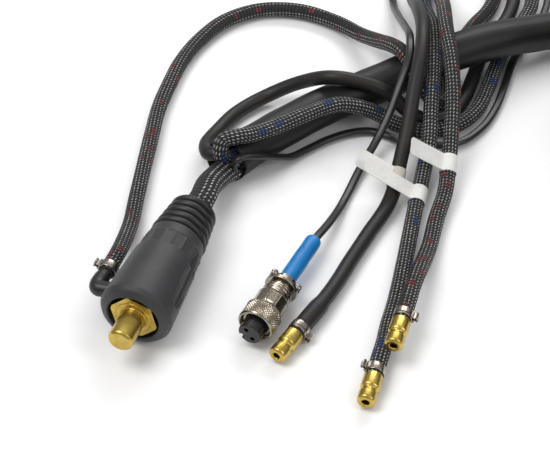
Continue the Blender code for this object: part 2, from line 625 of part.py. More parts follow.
# ---- torch ---------------------------------------------------------------------------
def torch_handle():
    """Handle along +Z from the cover's end, with -X up."""
    torch = level_frame("torch_frame", (*TORCH_BASE, TORCH_Z), 270.0)

    finish(turned("handle_boot", [
        (13.6, 8.0), (13.6, 2.0), (12.9, 0.5), (13.4, -1.0), (13.4, -4.0), (12.7, -5.5), (13.2, -7.0),
        (13.2, -10.0), (12.4, -13.2), (11.6, -13.2), (11.6, 8.0)], torch, closed=True), "boot_rubber")

    grip = []
    for k in range(6):
        top = 118.0 - 12.0 * k
        grip += [(HANDLE_R, top), (HANDLE_R - 0.8, top - 1.0)]
        grip += [(HANDLE_R - 0.8, top - 3.0), (HANDLE_R, top - 4.0)]
    front = HANDLE_LENGTH
    shell = turned("handle_shell", [
        (10.4, front), (12.0, front - 1.6), (13.2, front - 12.0), (HANDLE_R, front - 22.0), *grip,
        (HANDLE_R, 12.0), (13.4, 8.3), (11.3, 8.3), (11.3, front - 6.0), (8.3, front - 6.0), (8.3, front)],
        torch, closed=True)
    plunger_hole = rod("plunger_hole_cutter", 1.6, 8.0, 20.0, torch, steps=12, collection=CUTTERS,
                       at=(0, 0, 149), turn=(0, -90, 0))
    finish(cut(shell, plunger_hole), "handle_black")

    housing = block("switch_housing", (-19.5, -8.0, 130.0), (-8.0, 8.0, 168.0), torch)
    hollow = rod("housing_seat_cutter", HANDLE_R + GAP, 120.0, 180.0, torch, collection=CUTTERS, steps=64)
    pocket = block("housing_pocket_cutter", (-30, -5.2, 137.8), (-5, 5.2, 160.2), torch, CUTTERS)
    edge = housing.modifiers.new("edges", "BEVEL")
    edge.width = 1.5 * MM
    edge.segments = 2
    finish(cut(housing, hollow, pocket), "handle_black")

    button = block("switch_button", (-2.4, -4.9, -10.9), (2.4, 4.9, 10.9), torch, about=(-18.6, 0, 149.0))
    edge = button.modifiers.new("edges", "BEVEL")
    edge.width = 1.0 * MM
    edge.segments = 2
    finish(button, "switch_grey")

    switch = block("microswitch", (-10.2, -3.0, 142.5), (-5.2, 3.0, 155.5), torch)
    stem = rod("microswitch_stem_lump", 1.1, 9.8, 14.2, torch, steps=12, collection=CUTTERS,
               at=(0, 0, 149), turn=(0, -90, 0))
    finish(join(switch, stem), "switch_grey")

    for name, radius, x, y in (("power", 3.2, 4.4, 0.0), ("water", 2.1, -1.5, 5.5), ("gas", 2.1, -1.5, -5.5)):
        rod_z = (12.0, front - 6.1)
        finish(rod("head_pipe_" + name, radius, *rod_z, torch, steps=16, at=(x, y, 0)), "copper")
    return torch


def torch_head(torch):
    """Head on a frame whose +Z is the way the nozzle points."""
    head = empty("head_frame", (0, 0, HEAD_Z), (math.radians(HEAD_ANGLE), 0.0, 0.0), torch)

    body = turned("torch_head", [
        (0, 14.0), (8.6, 14.0), (9.5, 13.0), (9.5, -11.6), (8.4, -13.0), (0, -13.0)], head)
    neck = turned("torch_neck_lump", [
        (0, HEAD_Z), (8.4, HEAD_Z), (8.4, HANDLE_LENGTH + 12.0), (8.0, HANDLE_LENGTH + 2.0),
        (8.0, HANDLE_LENGTH - 5.5), (0, HANDLE_LENGTH - 5.5)], torch, collection=CUTTERS)
    bore = rod("head_bore_cutter", 5.2, -20.0, 20.0, head, collection=CUTTERS)
    finish(cut(join(body, neck), bore), "head_black")

    finish(turned("collet_body", [
        (4.9, 33.0), (4.9, 18.0), (6.2, 17.6), (6.2, 14.4), (4.9, 14.4), (4.9, -8.0), (2.1, -8.0),
        (2.1, 31.0), (1.55, 33.0)], head, closed=True, steps=24), "copper")
    finish(pipe("collet", 1.8, 1.45, -12.0, 30.0, head, steps=16), "copper")
    finish(turned("electrode", [
        (0, 68.0), (0.25, 68.0), (1.2, 62.0), (1.2, -32.0), (0, -32.0)], head, steps=16), "tungsten")
    finish(pipe("nozzle_gasket", 9.2, 6.6, 14.4, 17.6, head), "switch_grey")
    finish(turned("ceramic_nozzle", [
        (7.0, 60.0), (7.4, 58.8), (7.6, 48.0), (9.2, 36.0), (9.2, 18.0), (6.8, 18.0), (6.8, 36.0),
        (5.5, 46.0), (5.5, 60.0)], head, closed=True), "ceramic")
    finish(pipe("cap_seal", 8.2, 6.2, -14.6, -13.3, head), "switch_grey")
    finish(turned("back_cap", [
        (0, -41.0), (3.2, -41.0), (3.2, -9.0), (4.8, -9.0), (4.8, -14.9), (8.6, -14.9), (8.6, -20.0),
        (7.9, -22.0), (7.6, -39.0), (6.2, -43.4), (3.4, -45.0), (0, -45.0)], head, steps=24), "head_black")


power_plug()
hose_ends()
aviation_plug()
labels()
cords()
coil_ties()
torch_head(torch_handle())
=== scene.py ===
import json
import math

import bmesh
import bpy
import numpy as np
from mathutils import Euler, Matrix, Vector


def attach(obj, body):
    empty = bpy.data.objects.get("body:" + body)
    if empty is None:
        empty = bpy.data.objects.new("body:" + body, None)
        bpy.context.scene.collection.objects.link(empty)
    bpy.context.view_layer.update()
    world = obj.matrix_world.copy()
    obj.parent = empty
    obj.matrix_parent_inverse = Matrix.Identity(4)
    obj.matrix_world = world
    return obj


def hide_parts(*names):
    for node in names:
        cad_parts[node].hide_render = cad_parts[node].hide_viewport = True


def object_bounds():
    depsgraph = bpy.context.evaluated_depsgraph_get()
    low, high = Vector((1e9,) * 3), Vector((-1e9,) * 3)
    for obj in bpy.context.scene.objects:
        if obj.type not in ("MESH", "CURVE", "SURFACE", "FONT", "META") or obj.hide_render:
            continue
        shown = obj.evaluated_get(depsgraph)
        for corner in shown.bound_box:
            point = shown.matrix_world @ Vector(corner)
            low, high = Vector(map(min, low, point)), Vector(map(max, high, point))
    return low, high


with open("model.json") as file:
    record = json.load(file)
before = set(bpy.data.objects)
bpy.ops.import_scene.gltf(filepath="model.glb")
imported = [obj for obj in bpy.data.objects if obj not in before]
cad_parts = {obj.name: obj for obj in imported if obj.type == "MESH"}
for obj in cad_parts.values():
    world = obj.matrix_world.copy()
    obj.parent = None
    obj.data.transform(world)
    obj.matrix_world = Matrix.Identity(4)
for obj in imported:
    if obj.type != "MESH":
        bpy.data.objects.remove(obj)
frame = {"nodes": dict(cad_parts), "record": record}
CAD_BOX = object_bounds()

MM = 0.001
TAU = 2.0 * math.pi

# ---- routes in mm, as in the CAD source ----------------------------------------------
# The gas hose, the water-in hose and the switch lead have their first points, at the
# cover's mouth, where they are made.
COVER_ROUTE = [
    (-210, 67, 11), (-193, 82, 11), (-172, 100, 11), (-147, 117.5, 11.2), (-124, 129.5, 13),
    (-104, 138, 17.5), (-83, 146, 21.3), (-59, 157, 21), (-36, 168, 17), (-6, 181, 12.5),
    (19, 190, 12.2), (43, 197.5, 12.9)]
POWER_ROUTE = [
    (-209.6, 62.3, 8.3), (-213.5, 57.5, 9.5), (-218, 48, 13), (-221.4, 38, 16.8),
    (-223.8, 27.1, 19.1), (-227.6, 16.8, 19.3)]
GAS_ROUTE = [
    (-223.5, 82, 8), (-218, 96, 5), (-207, 113, 4.3),
    (-190, 125.5, 6), (-171.5, 125, 16), (-155, 116, 27), (-142, 114.5, 26), (-128, 113, 21.8),
    (-120, 112.5, 15.5), (-111, 109, 7.5), (-99, 106, 4.3), (-87, 111.5, 4.3), (-78.5, 126, 4.3),
    (-73, 142, 4.3), (-67, 161, 4.3), (-58, 181, 4.3), (-47.5, 200, 4.3), (-42, 222, 4.3),
    (-46, 243, 4.3), (-60, 256, 8), (-76, 257, 14), (-88, 251, 14), (-98, 236, 13.5),
    (-104.5, 216, 14), (-105, 191, 24), (-104, 166, 36), (-103.5, 139, 42), (-106, 118, 39),
    (-110, 100, 31), (-114, 80, 21), (-118, 64, 14), (-123, 44, 7), (-127, 34, 4.8),
    (-136, 17, 4.3), (-147, -5, 4.4), (-155, -22.3, 4.8), (-162.6, -36.4, 5.5), (-175.8, -57.2, 5.6)]
WATER_IN_ROUTE = [
    (-213.5, 62.2, 27.8), (-207, 64.2, 28.6),
    (-199, 68, 26.9), (-186, 76, 25.4), (-170, 86.5, 24.8), (-160, 94, 23.2), (-151, 98.8, 21.9),
    (-141, 102, 17.8), (-134, 104, 13.5), (-127, 104.5, 9), (-118, 102, 5), (-102, 96.5, 4.6),
    (-85, 101.5, 4.6), (-73, 114, 4.6), (-65.5, 132, 4.6), (-59.5, 150, 4.6), (-52, 170.5, 4.6),
    (-41, 190.5, 4.6), (-32.5, 211, 4.6), (-31, 232, 4.6), (-38, 253, 4.6), (-55, 267, 4.6),
    (-76, 265, 4.6), (-90, 249, 4.6), (-96, 226, 4.6), (-97, 201, 10), (-97, 176, 22),
    (-96.5, 151, 34), (-97, 134, 34), (-98.5, 114, 28.5), (-100.5, 94, 21), (-102, 77, 14),
    (-106, 59, 7), (-110, 41, 5.2), (-114, 21, 4.6), (-119, -5, 4.6), (-125, -34, 4.6),
    (-129.6, -51.5, 4.9), (-133, -67.2, 5.5), (-137.9, -85.1, 5.6)]
WATER_OUT_ROUTE = [
    (-271.1, -26.2, 17), (-267.0, -14.9, 17), (-264.8, -2.5, 13), (-262.7, 14, 7.5), (-261.5, 26, 4.8),
    (-260, 42, 4.6), (-258, 61, 4.6), (-256, 78, 4.6), (-254, 96, 4.6), (-251, 118, 4.6),
    (-246, 138, 4.6), (-240, 158, 4.6), (-231, 176, 4.6), (-216, 195, 4.6), (-195, 206, 4.6),
    (-171, 205, 4.6), (-150, 194, 5), (-136, 177, 9), (-126, 158, 19), (-120, 144, 27.5),
    (-114.5, 133, 31), (-109, 124.5, 27), (-103, 117, 17.5), (-95, 115.5, 8.5),
    (-89.5, 124.5, 4.9), (-88, 138, 4.6), (-85, 153, 4.6), (-78.5, 172, 4.6), (-69, 190, 4.6),
    (-58, 207, 4.6), (-53, 225, 4.6), (-58, 240, 4.6), (-70, 246, 4.6), (-82, 240, 4.6),
    (-86.5, 225, 6), (-87.5, 206, 14), (-88.5, 186, 25), (-90, 164, 38), (-90.5, 138, 42.5),
    (-89, 118, 39), (-88.5, 100, 30), (-90, 81, 20), (-92, 64, 12), (-95, 45, 7), (-101, 25, 5),
    (-105.6, 5, 5.6), (-109, -7, 8), (-112.2, -17.5, 11.4), (-116, -30, 13.8), (-123.5, -56.3, 14.2)]
CONTROL_ROUTE = [
    (-202, 57.5, 20.5), (-194, 62.5, 16.5), (-185, 69.5, 9.5),
    (-177, 76, 4), (-168, 83.5, 2.6), (-156, 92, 2.6), (-144, 97.5, 2.6), (-134, 99, 2.6),
    (-125, 96, 2.6), (-116, 91, 2.6), (-100, 86.5, 2.6), (-83, 90, 2.6), (-70, 102.5, 2.6),
    (-61, 119.5, 2.6), (-54.5, 139, 2.6), (-47.5, 161, 2.6), (-38, 181, 2.6), (-27, 201, 2.6),
    (-21, 224, 2.6), (-24, 249, 2.6), (-38, 269, 2.6), (-60, 277, 2.6), (-86, 273, 2.6),
    (-106, 259, 2.6), (-115, 236, 2.6), (-115, 211, 5), (-114, 186, 16), (-112, 161, 28),
    (-110.5, 138, 37.5), (-112, 121, 36), (-117, 108, 29), (-124, 94, 17), (-131, 82, 9),
    (-139, 68, 4), (-150, 40, 2.6), (-157.5, 21, 6.6), (-165.4, 5.1, 9.9)]

# ---- sizes in mm and degrees, as in the CAD source -----------------------------------
COVER_R, POWER_R, WATER_R, GAS_R, LEAD_R = 11.0, 7.0, 4.3, 4.0, 2.3
PLUG_FACE, PLUG_HEADING = (-254.0, -55.3, 19.3), 249.9
AVIATION_FACE, AVIATION_HEADING = (-198.7, -61.9, 9.9), 243.6
COIL_CENTRE = (154.0, 78.0)
INNER_TURN, OUTER_TURN = 119.3, 141.3
LOWER_Z, UPPER_Z, TAIL_Z, TORCH_Z = 12.9, 34.9, 57.2, 60.2
TORCH_BASE = (239.0, 115.0)
TAIL_BEND_CENTRE, TAIL_BEND_R, TAIL_BEND_START = (152.7, 133.0), 86.3, 91.35
HEAD_Z, HEAD_ANGLE, HANDLE_LENGTH, HANDLE_R = 214.0, 70.0, 190.0, 14.0
HEX_CORNER_R, HEX_PHASE = 13.0, 13
CONTACT_R, CONTACT_ANGLE, KEY_ANGLE = 2.9, 35.0, 302.0
SADDLE_TURN, SCREW_Y, SCREW_Z = -21.0, 7.0, -38.85
# of this file's own: the sleeve's facets, and half the size, the corner radius and the
# middle's height of the straps' section
SLEEVE_FACETS = 17
STRAP_HALF, STRAP_CORNER_R, STRAP_CENTRE_Z = 22.0, 8.8, 23.9


# ---- camera, light and floor ---------------------------------------------------------
scene = bpy.context.scene
camera = bpy.data.objects.new("camera", bpy.data.cameras.new("camera"))
scene.collection.objects.link(camera)
camera.location = (-0.186, -0.6933, 0.6947)
camera.rotation_euler = (math.radians(46.0), 0.0, 0.0)
camera.data.lens = 123.5
camera.data.sensor_width = 36.0
camera.data.clip_start = 0.05
scene.camera = camera
scene.view_settings.view_transform = "Standard"


def softbox(name, place, aim, size, power):
    """An oblong area light aimed at a point."""
    light = bpy.data.lights.new(name, "AREA")
    light.shape = "RECTANGLE"
    light.size, light.size_y = size
    light.energy = power
    obj = bpy.data.objects.new(name, light)
    obj.location = place
    way = Vector(aim) - Vector(place)
    obj.rotation_euler = way.to_track_quat("-Z", "Y").to_euler()
    scene.collection.objects.link(obj)


softbox("key_softbox", (-0.75, -0.15, 1.15), (-0.16, 0.0, 0.0), (0.7, 0.7), 8.0)
softbox("back_softbox", (0.1, 0.95, 0.85), (-0.15, 0.05, 0.0), (0.9, 0.35), 6.0)
softbox("side_softbox", (0.75, -0.55, 0.8), (-0.1, 0.0, 0.0), (0.35, 0.8), 3.0)

world = bpy.data.worlds.new("studio")
scene.world = world
world.use_nodes = True
sky = world.node_tree
sky.nodes.clear()
sky_out, sky_light, sky_ramp, sky_split, sky_way = [
    sky.nodes.new("ShaderNode" + kind)
    for kind in ("OutputWorld", "Background", "ValToRGB", "SeparateXYZ", "TexCoord")]
sky.links.new(sky_way.outputs["Generated"], sky_split.inputs[0])
sky.links.new(sky_split.outputs["Z"], sky_ramp.inputs["Fac"])
sky.links.new(sky_ramp.outputs["Color"], sky_light.inputs["Color"])
sky.links.new(sky_light.outputs[0], sky_out.inputs["Surface"])
low_sky, high_sky = sky_ramp.color_ramp.elements
low_sky.position = 0.0
low_sky.color = (0.40, 0.40, 0.41, 1.0)
high_sky.position = 0.9
high_sky.color = (1.0, 1.0, 1.0, 1.0)
sky_light.inputs["Strength"].default_value = 0.62


# ---- materials -----------------------------------------------------------------------
class Paint:
    """A Principled material with short ways to wire its nodes."""

    def __init__(self, name, metal=0.0, specular=0.5):
        self.mat = bpy.data.materials.new(name)
        self.mat.use_nodes = True
        self.tree = self.mat.node_tree
        self.shader = self.tree.nodes["Principled BSDF"]
        self.shader.inputs["Metallic"].default_value = metal
        self.shader.inputs["Specular IOR Level"].default_value = specular

    def node(self, kind, **settings):
        node = self.tree.nodes.new("ShaderNode" + kind)
        for key, value in settings.items():
            setattr(node, key, value)
        return node

    def put(self, socket, value):
        if isinstance(value, bpy.types.NodeSocket):
            self.tree.links.new(value, socket)
        elif isinstance(value, tuple) and len(value) == 3 and socket.type == "RGBA":
            socket.default_value = (*value, 1.0)
        else:
            socket.default_value = value

    def math(self, operation, *values):
        node = self.node("Math", operation=operation)
        for socket, value in zip(node.inputs, values):
            self.put(socket, value)
        return node.outputs[0]

    def where(self, kind="Object"):
        return self.node("TexCoord").outputs[kind]

    def pair(self, x, y):
        node = self.node("CombineXYZ")
        self.put(node.inputs[0], x)
        self.put(node.inputs[1], y)
        return node.outputs[0]

    def scaled(self, vector, scale):
        node = self.node("VectorMath", operation="MULTIPLY")
        self.put(node.inputs[0], vector)
        node.inputs[1].default_value = scale
        return node.outputs[0]

    def noise(self, vector, scale, detail=3.0, rough=0.55):
        node = self.node("TexNoise")
        self.put(node.inputs["Vector"], vector)
        node.inputs["Scale"].default_value = scale
        node.inputs["Detail"].default_value = detail
        node.inputs["Roughness"].default_value = rough
        return node.outputs["Fac"]

    def span(self, value, a, b, low, high, smooth=False):
        node = self.node("MapRange", interpolation_type="SMOOTHSTEP" if smooth else "LINEAR")
        self.put(node.inputs["Value"], value)
        for key, number in zip(("From Min", "From Max", "To Min", "To Max"), (a, b, low, high)):
            self.put(node.inputs[key], number)
        return node.outputs["Result"]

    def mix(self, share, a, b):
        node = self.node("Mix", data_type="RGBA")
        self.put(node.inputs["Factor"], share)
        self.put(node.inputs[6], a)
        self.put(node.inputs[7], b)
        return node.outputs[2]

    def bump(self, height, distance, strength):
        node = self.node("Bump")
        self.put(node.inputs["Height"], height)
        node.inputs["Distance"].default_value = distance
        node.inputs["Strength"].default_value = strength
        return node.outputs["Normal"]

    def done(self, colour, rough, normal=None):
        self.put(self.shader.inputs["Base Color"], colour)
        self.put(self.shader.inputs["Roughness"], rough)
        if normal is not None:
            self.put(self.shader.inputs["Normal"], normal)
        return self.mat


def moulded(name, dark, light, rough, grain=1600.0, depth=0.00006, patch=60.0, edges=0.0,
            specular=0.5):
    """Moulded rubber or plastic: a fine pebbled skin, faint patches and paler sharp edges."""
    paint = Paint(name, specular=specular)
    place = paint.where()
    cloud = paint.noise(place, patch, 4.0)
    skin = paint.noise(place, grain, 2.0)
    share = paint.span(cloud, 0.3, 0.7, 0.0, 1.0)
    colour = paint.mix(share, dark, light)
    if edges:
        # sharp edges made paler in colour
        point = paint.node("NewGeometry").outputs["Pointiness"]
        edge_pale = paint.span(point, 0.52, 0.62, 0.0, edges, True)
        pale = tuple(min(1.0, c * 3.0 + 0.03) for c in light)
        colour = paint.mix(edge_pale, colour, pale)
    return paint.done(colour, paint.span(skin, 0.3, 0.7, rough - 0.07, rough + 0.07),
                      paint.bump(skin, depth, 0.8))


def turned_metal(name, dark, light, rough, pitch=5200.0, depth=0.000012, stain=None):
    """Machined metal: fine turning rings round the piece's axis, and a faint tarnish."""
    paint = Paint(name, metal=1.0)
    place = paint.where()
    rings = paint.noise(paint.scaled(place, (0.02, 0.02, 1.0)), pitch, 2.0)
    cloud = paint.noise(place, 140.0, 4.0)
    colour = paint.mix(paint.span(cloud, 0.35, 0.7, 0.0, 1.0), light, dark)
    if stain:
        spots = paint.noise(place, 420.0, 3.0)
        colour = paint.mix(paint.span(spots, 0.58, 0.75, 0.0, 0.6, True), colour, stain)
    uneven = paint.math("ADD", paint.span(rings, 0.3, 0.7, rough - 0.06, rough + 0.06),
                        paint.span(cloud, 0.3, 0.7, -0.03, 0.05))
    return paint.done(colour, uneven, paint.bump(rings, depth, 0.5))


def cord_place(paint):
    """Turns round the cord, 0 to 1, and millimetres along it, from its UV map.  A strap
    has millimetres across it in place of the turns."""
    split = paint.node("SeparateXYZ")
    paint.put(split.inputs[0], paint.where("UV"))
    return split.outputs["X"], split.outputs["Y"]


def braided(name, columns, pitch, quiet, bright, row_period, bright_rows, fleck, fleck_step,
            twist, rough=0.42):
    """A herringbone braid: short slanted stitches in columns along the cord, each a raised yarn, with
    brighter columns and now and then a few coloured stitches.  The brighter columns are light marker yarns
    where they repeat round the cord, and a painted highlight on its lit side where they fill one half of the
    round only."""
    paint = Paint(name, specular=0.6)
    around, along = cord_place(paint)
    twisted = paint.math("MULTIPLY_ADD", along, twist, around)
    across = paint.math("MULTIPLY", twisted, float(columns))
    column = paint.math("FLOOR", across)
    side = paint.math("SUBTRACT", paint.math("FRACT", across), 0.5)
    odd = paint.math("PINGPONG", column, 1.0)
    slant = paint.math("SUBTRACT", paint.math("MULTIPLY", odd, 0.9), 0.45)
    steps = paint.math("ADD", paint.math("DIVIDE", along, pitch), paint.math("MULTIPLY", slant, side))
    stitch = paint.math("FLOOR", steps)
    part = paint.math("SUBTRACT", paint.math("FRACT", steps), 0.5)
    wide = paint.math("SUBTRACT", 1.0, paint.math("POWER", paint.math("MULTIPLY", side, 2.05), 2.0))
    tall = paint.math("SUBTRACT", 1.0, paint.math("POWER", paint.math("MULTIPLY", part, 2.9), 2.0))
    height = paint.math("MULTIPLY", paint.math("MAXIMUM", wide, 0.0), paint.math("MAXIMUM", tall, 0.0))
    chance = paint.node("TexWhiteNoise", noise_dimensions="2D")
    paint.put(chance.inputs["Vector"], paint.pair(column, stitch))
    luck = chance.outputs["Value"]
    # brighter columns: light marker yarns where they repeat round the cord, a painted highlight where they
    # fill one half of it only
    row = paint.math("MODULO", column, float(row_period))
    tracer_and_lit_side = paint.math("LESS_THAN", row, float(bright_rows) - 0.5)
    tracer_and_lit_side = paint.math("MULTIPLY", tracer_and_lit_side, paint.math("SUBTRACT", 1.0, odd))
    glow = paint.math("ADD", paint.math("MULTIPLY", tracer_and_lit_side, bright - quiet), quiet)
    glow = paint.math("MULTIPLY", glow, paint.math("MULTIPLY_ADD", luck, 0.8, 0.6))
    yarn = paint.node("CombineColor")
    for socket, tint in zip(yarn.inputs, (1.0, 0.98, 0.94)):
        paint.put(socket, paint.math("MULTIPLY", glow, tint))
    colour = yarn.outputs[0]
    if fleck:
        spots = paint.node("TexVoronoi", voronoi_dimensions="2D", feature="F1")
        spread = paint.pair(paint.math("MULTIPLY", twisted, 2.2), paint.math("DIVIDE", along, fleck_step))
        paint.put(spots.inputs["Vector"], spread)
        spots.inputs["Scale"].default_value = 1.0
        near = paint.span(spots.outputs["Distance"], 0.10, 0.24, 1.0, 0.0)
        dyed = paint.math("GREATER_THAN", paint.math("ADD", near, paint.math("MULTIPLY", luck, 0.6)), 0.9)
        colour = paint.mix(paint.math("MULTIPLY", dyed, 0.9), colour, fleck)
    colour = paint.mix(paint.span(height, 0.25, 0.6, 0.0, 1.0, True), (0.002, 0.002, 0.0022), colour)
    fibre = paint.noise(paint.where(), 5200.0, 2.0)
    lift = paint.math("MULTIPLY_ADD", fibre, 0.15, height)
    return paint.done(colour, paint.span(height, 0.0, 0.8, 0.8, rough), paint.bump(lift, 0.0005, 1.0))


def extruded(name, dark, light, rough, streaks, grain, depth, specular=0.5):
    """An extruded skin: fine streaks along the cord, grain, and scuffs here and there."""
    paint = Paint(name, specular=specular)
    around, along = cord_place(paint)
    stretched = paint.pair(paint.math("MULTIPLY", around, streaks), paint.math("MULTIPLY", along, 0.02))
    lines = paint.noise(stretched, 1.0, 3.0)
    place = paint.where()
    skin = paint.noise(place, grain, 3.0, 0.6)
    cloud = paint.noise(place, 45.0, 4.0)
    scuff = paint.math("MULTIPLY", paint.span(cloud, 0.52, 0.72, 0.0, 1.0),
                       paint.span(skin, 0.4, 0.7, 0.0, 1.0))
    colour = paint.mix(paint.span(lines, 0.3, 0.7, 0.0, 1.0), dark, light)
    colour = paint.mix(paint.math("MULTIPLY", scuff, 0.35), colour, tuple(c * 2.2 + 0.01 for c in light))
    bumps = paint.math("MULTIPLY_ADD", lines, 0.6, skin)
    return paint.done(colour, paint.span(skin, 0.3, 0.7, rough - 0.06, rough + 0.08),
                      paint.bump(bumps, depth, 0.8))


def paper(name, dark=(0.66, 0.65, 0.62), light=(0.80, 0.80, 0.78), stain=(0.60, 0.58, 0.53)):
    """Matt paper: fibres, and stains here and there."""
    paint = Paint(name, specular=0.35)
    place = paint.where()
    fibre = paint.noise(place, 900.0, 5.0, 0.7)
    cloud = paint.noise(place, 90.0, 3.0)
    colour = paint.mix(paint.span(fibre, 0.3, 0.7, 0.0, 1.0), dark, light)
    colour = paint.mix(paint.span(cloud, 0.5, 0.8, 0.0, 0.5), colour, stain)
    return paint.done(colour, paint.span(fibre, 0.3, 0.7, 0.38, 0.6), paint.bump(fibre, 0.00003, 0.6))


def woven(name):
    """Narrow strap webbing from the piece's UV map: ribs across it and a fine weave."""
    paint = Paint(name, specular=0.3)
    across, along = cord_place(paint)
    warp = paint.math("SINE", paint.math("MULTIPLY", across, 7.5))
    weft = paint.math("SINE", paint.math("MULTIPLY", along, 7.5))
    weave = paint.math("MULTIPLY", warp, weft)
    fuzz = paint.noise(paint.where(), 2500.0, 3.0)
    colour = paint.mix(paint.span(weave, -1.0, 1.0, 0.0, 1.0), (0.006, 0.006, 0.007), (0.04, 0.04, 0.043))
    lift = paint.math("MULTIPLY_ADD", fuzz, 0.5, weave)
    return paint.done(colour, 0.8, paint.bump(lift, 0.00025, 0.9))


LOOKS = {
    "plug_rubber": moulded("slate_rubber", (0.026, 0.026, 0.028), (0.040, 0.039, 0.042), 0.50,
                           1500.0, 0.00005, 50.0, 0.3, 0.42),
    "boot_rubber": moulded("boot_rubber", (0.007, 0.007, 0.0073), (0.014, 0.0135, 0.013), 0.40,
                           2100.0, 0.00004, 70.0, 0.2),
    "cover_rubber": extruded("cover_skin", (0.005, 0.0045, 0.0042), (0.011, 0.010, 0.0092), 0.44,
                             60.0, 1300.0, 0.00010, 0.38),
    # the power braid's brighter columns fill one half of its round, untwisted: a painted highlight on its
    # lit side
    "power_braid": braided("power_braid", 30, 2.6, 0.008, 0.46, 30, 13, None, 25.0, 0.0),
    "blue_fleck_braid": braided("blue_fleck_braid", 28, 2.1, 0.008, 0.44, 28, 28,
                                (0.010, 0.07, 0.36), 20.0, 0.0008),
    "red_fleck_braid": braided("red_fleck_braid", 28, 2.1, 0.006, 0.38, 14, 9,
                               (0.36, 0.025, 0.03), 13.0, 0.0011),
    "gas_rubber": extruded("gas_hose_rubber", (0.009, 0.008, 0.0073), (0.018, 0.0158, 0.0142), 0.46,
                           40.0, 1700.0, 0.00006, 0.4),
    "lead_black": extruded("lead_vinyl", (0.007, 0.007, 0.007), (0.014, 0.0135, 0.013), 0.34,
                           30.0, 1900.0, 0.00003),
    "brass": turned_metal("turned_brass", (0.42, 0.285, 0.055), (0.62, 0.455, 0.12), 0.29,
                          5200.0, 0.000003),
    "nickel": turned_metal("nickel_plate", (0.26, 0.225, 0.175), (0.41, 0.365, 0.30), 0.18,
                           4200.0, 0.000005),
    "clamp_steel": turned_metal("clamp_steel", (0.28, 0.25, 0.21), (0.44, 0.40, 0.35), 0.22,
                                3000.0, 0.000006, (0.34, 0.29, 0.24)),
    "copper": turned_metal("bare_copper", (0.62, 0.27, 0.14), (0.80, 0.43, 0.28), 0.32,
                           4200.0, 0.00001, (0.30, 0.14, 0.08)),
    "tungsten": turned_metal("ground_tungsten", (0.36, 0.36, 0.38), (0.55, 0.55, 0.56), 0.36,
                             8000.0, 0.00001),
    "insert_black": moulded("insert_phenolic", (0.006, 0.006, 0.0065), (0.013, 0.0125, 0.0135), 0.24,
                            2600.0, 0.00003, 120.0, 0.2),
    "sleeve_blue": moulded("shrink_sleeve_blue", (0.0, 0.155, 0.44), (0.0, 0.20, 0.54), 0.40,
                           900.0, 0.00003, 110.0),
    "label": paper("label_paper"),
    # the gas label's band round its hose takes a darker, browner paper: painted shade on the band; its flag
    # keeps the plain paper
    "gas_label": paper("label_paper_painted_shade", (0.44, 0.42, 0.36), (0.56, 0.54, 0.48), (0.38, 0.35, 0.28)),
    "strap": woven("strap_webbing"),
    "handle_black": moulded("handle_nylon", (0.012, 0.012, 0.013), (0.023, 0.023, 0.024), 0.46,
                            1300.0, 0.00008, 60.0, 0.2),
    "switch_grey": moulded("switch_nylon", (0.12, 0.12, 0.125), (0.18, 0.18, 0.185), 0.42,
                           1700.0, 0.00005, 90.0, 0.15),
    "seal_grey": moulded("seal_silicone", (0.09, 0.09, 0.09), (0.13, 0.13, 0.13), 0.5, 1900.0,
                         0.00004, 90.0),
    "ceramic": moulded("fired_ceramic", (0.42, 0.18, 0.125), (0.54, 0.26, 0.195), 0.38, 2600.0,
                       0.00003, 140.0, 0.1),
    "head_black": moulded("head_rubber", (0.011, 0.011, 0.012), (0.021, 0.021, 0.022), 0.40,
                          2300.0, 0.00005, 80.0, 0.2),
}
SLOT_OF = {row["node"]: row["material_slot"] for row in frame["record"]["subparts"]}


# ---- placing -------------------------------------------------------------------------
def shifted(x, y, z):
    """A move, told in mm."""
    return Matrix.Translation(Vector((x, y, z)) * MM)


def spun(degrees, axis="Z"):
    return Matrix.Rotation(math.radians(degrees), 4, axis)


def turned(x, y, z, order="XYZ"):
    """A rotation by three angles, told in degrees."""
    return Euler([math.radians(a) for a in (x, y, z)], order).to_matrix().to_4x4()


def level(place, heading):
    """A frame whose +Z runs level along the heading, with -X up, as the CAD's frames."""
    return shifted(*place) @ turned(0.0, 90.0, heading)


# ---- meshes --------------------------------------------------------------------------


def keep(name, mesh, spot, slot, body="root", nodes=(), sharp=40.0):
    """Places a finished mesh as a piece: its finish, its CAD body and what it stands for."""
    obj = bpy.data.objects.new(name, mesh)
    scene.collection.objects.link(obj)
    obj.matrix_world = spot
    mesh.materials.append(LOOKS.get(name, LOOKS[slot]))
    mesh.shade_smooth()
    mesh.set_sharp_from_angle(angle=math.radians(sharp))
    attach(obj, body)
    if nodes:
        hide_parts(*nodes)
    return obj


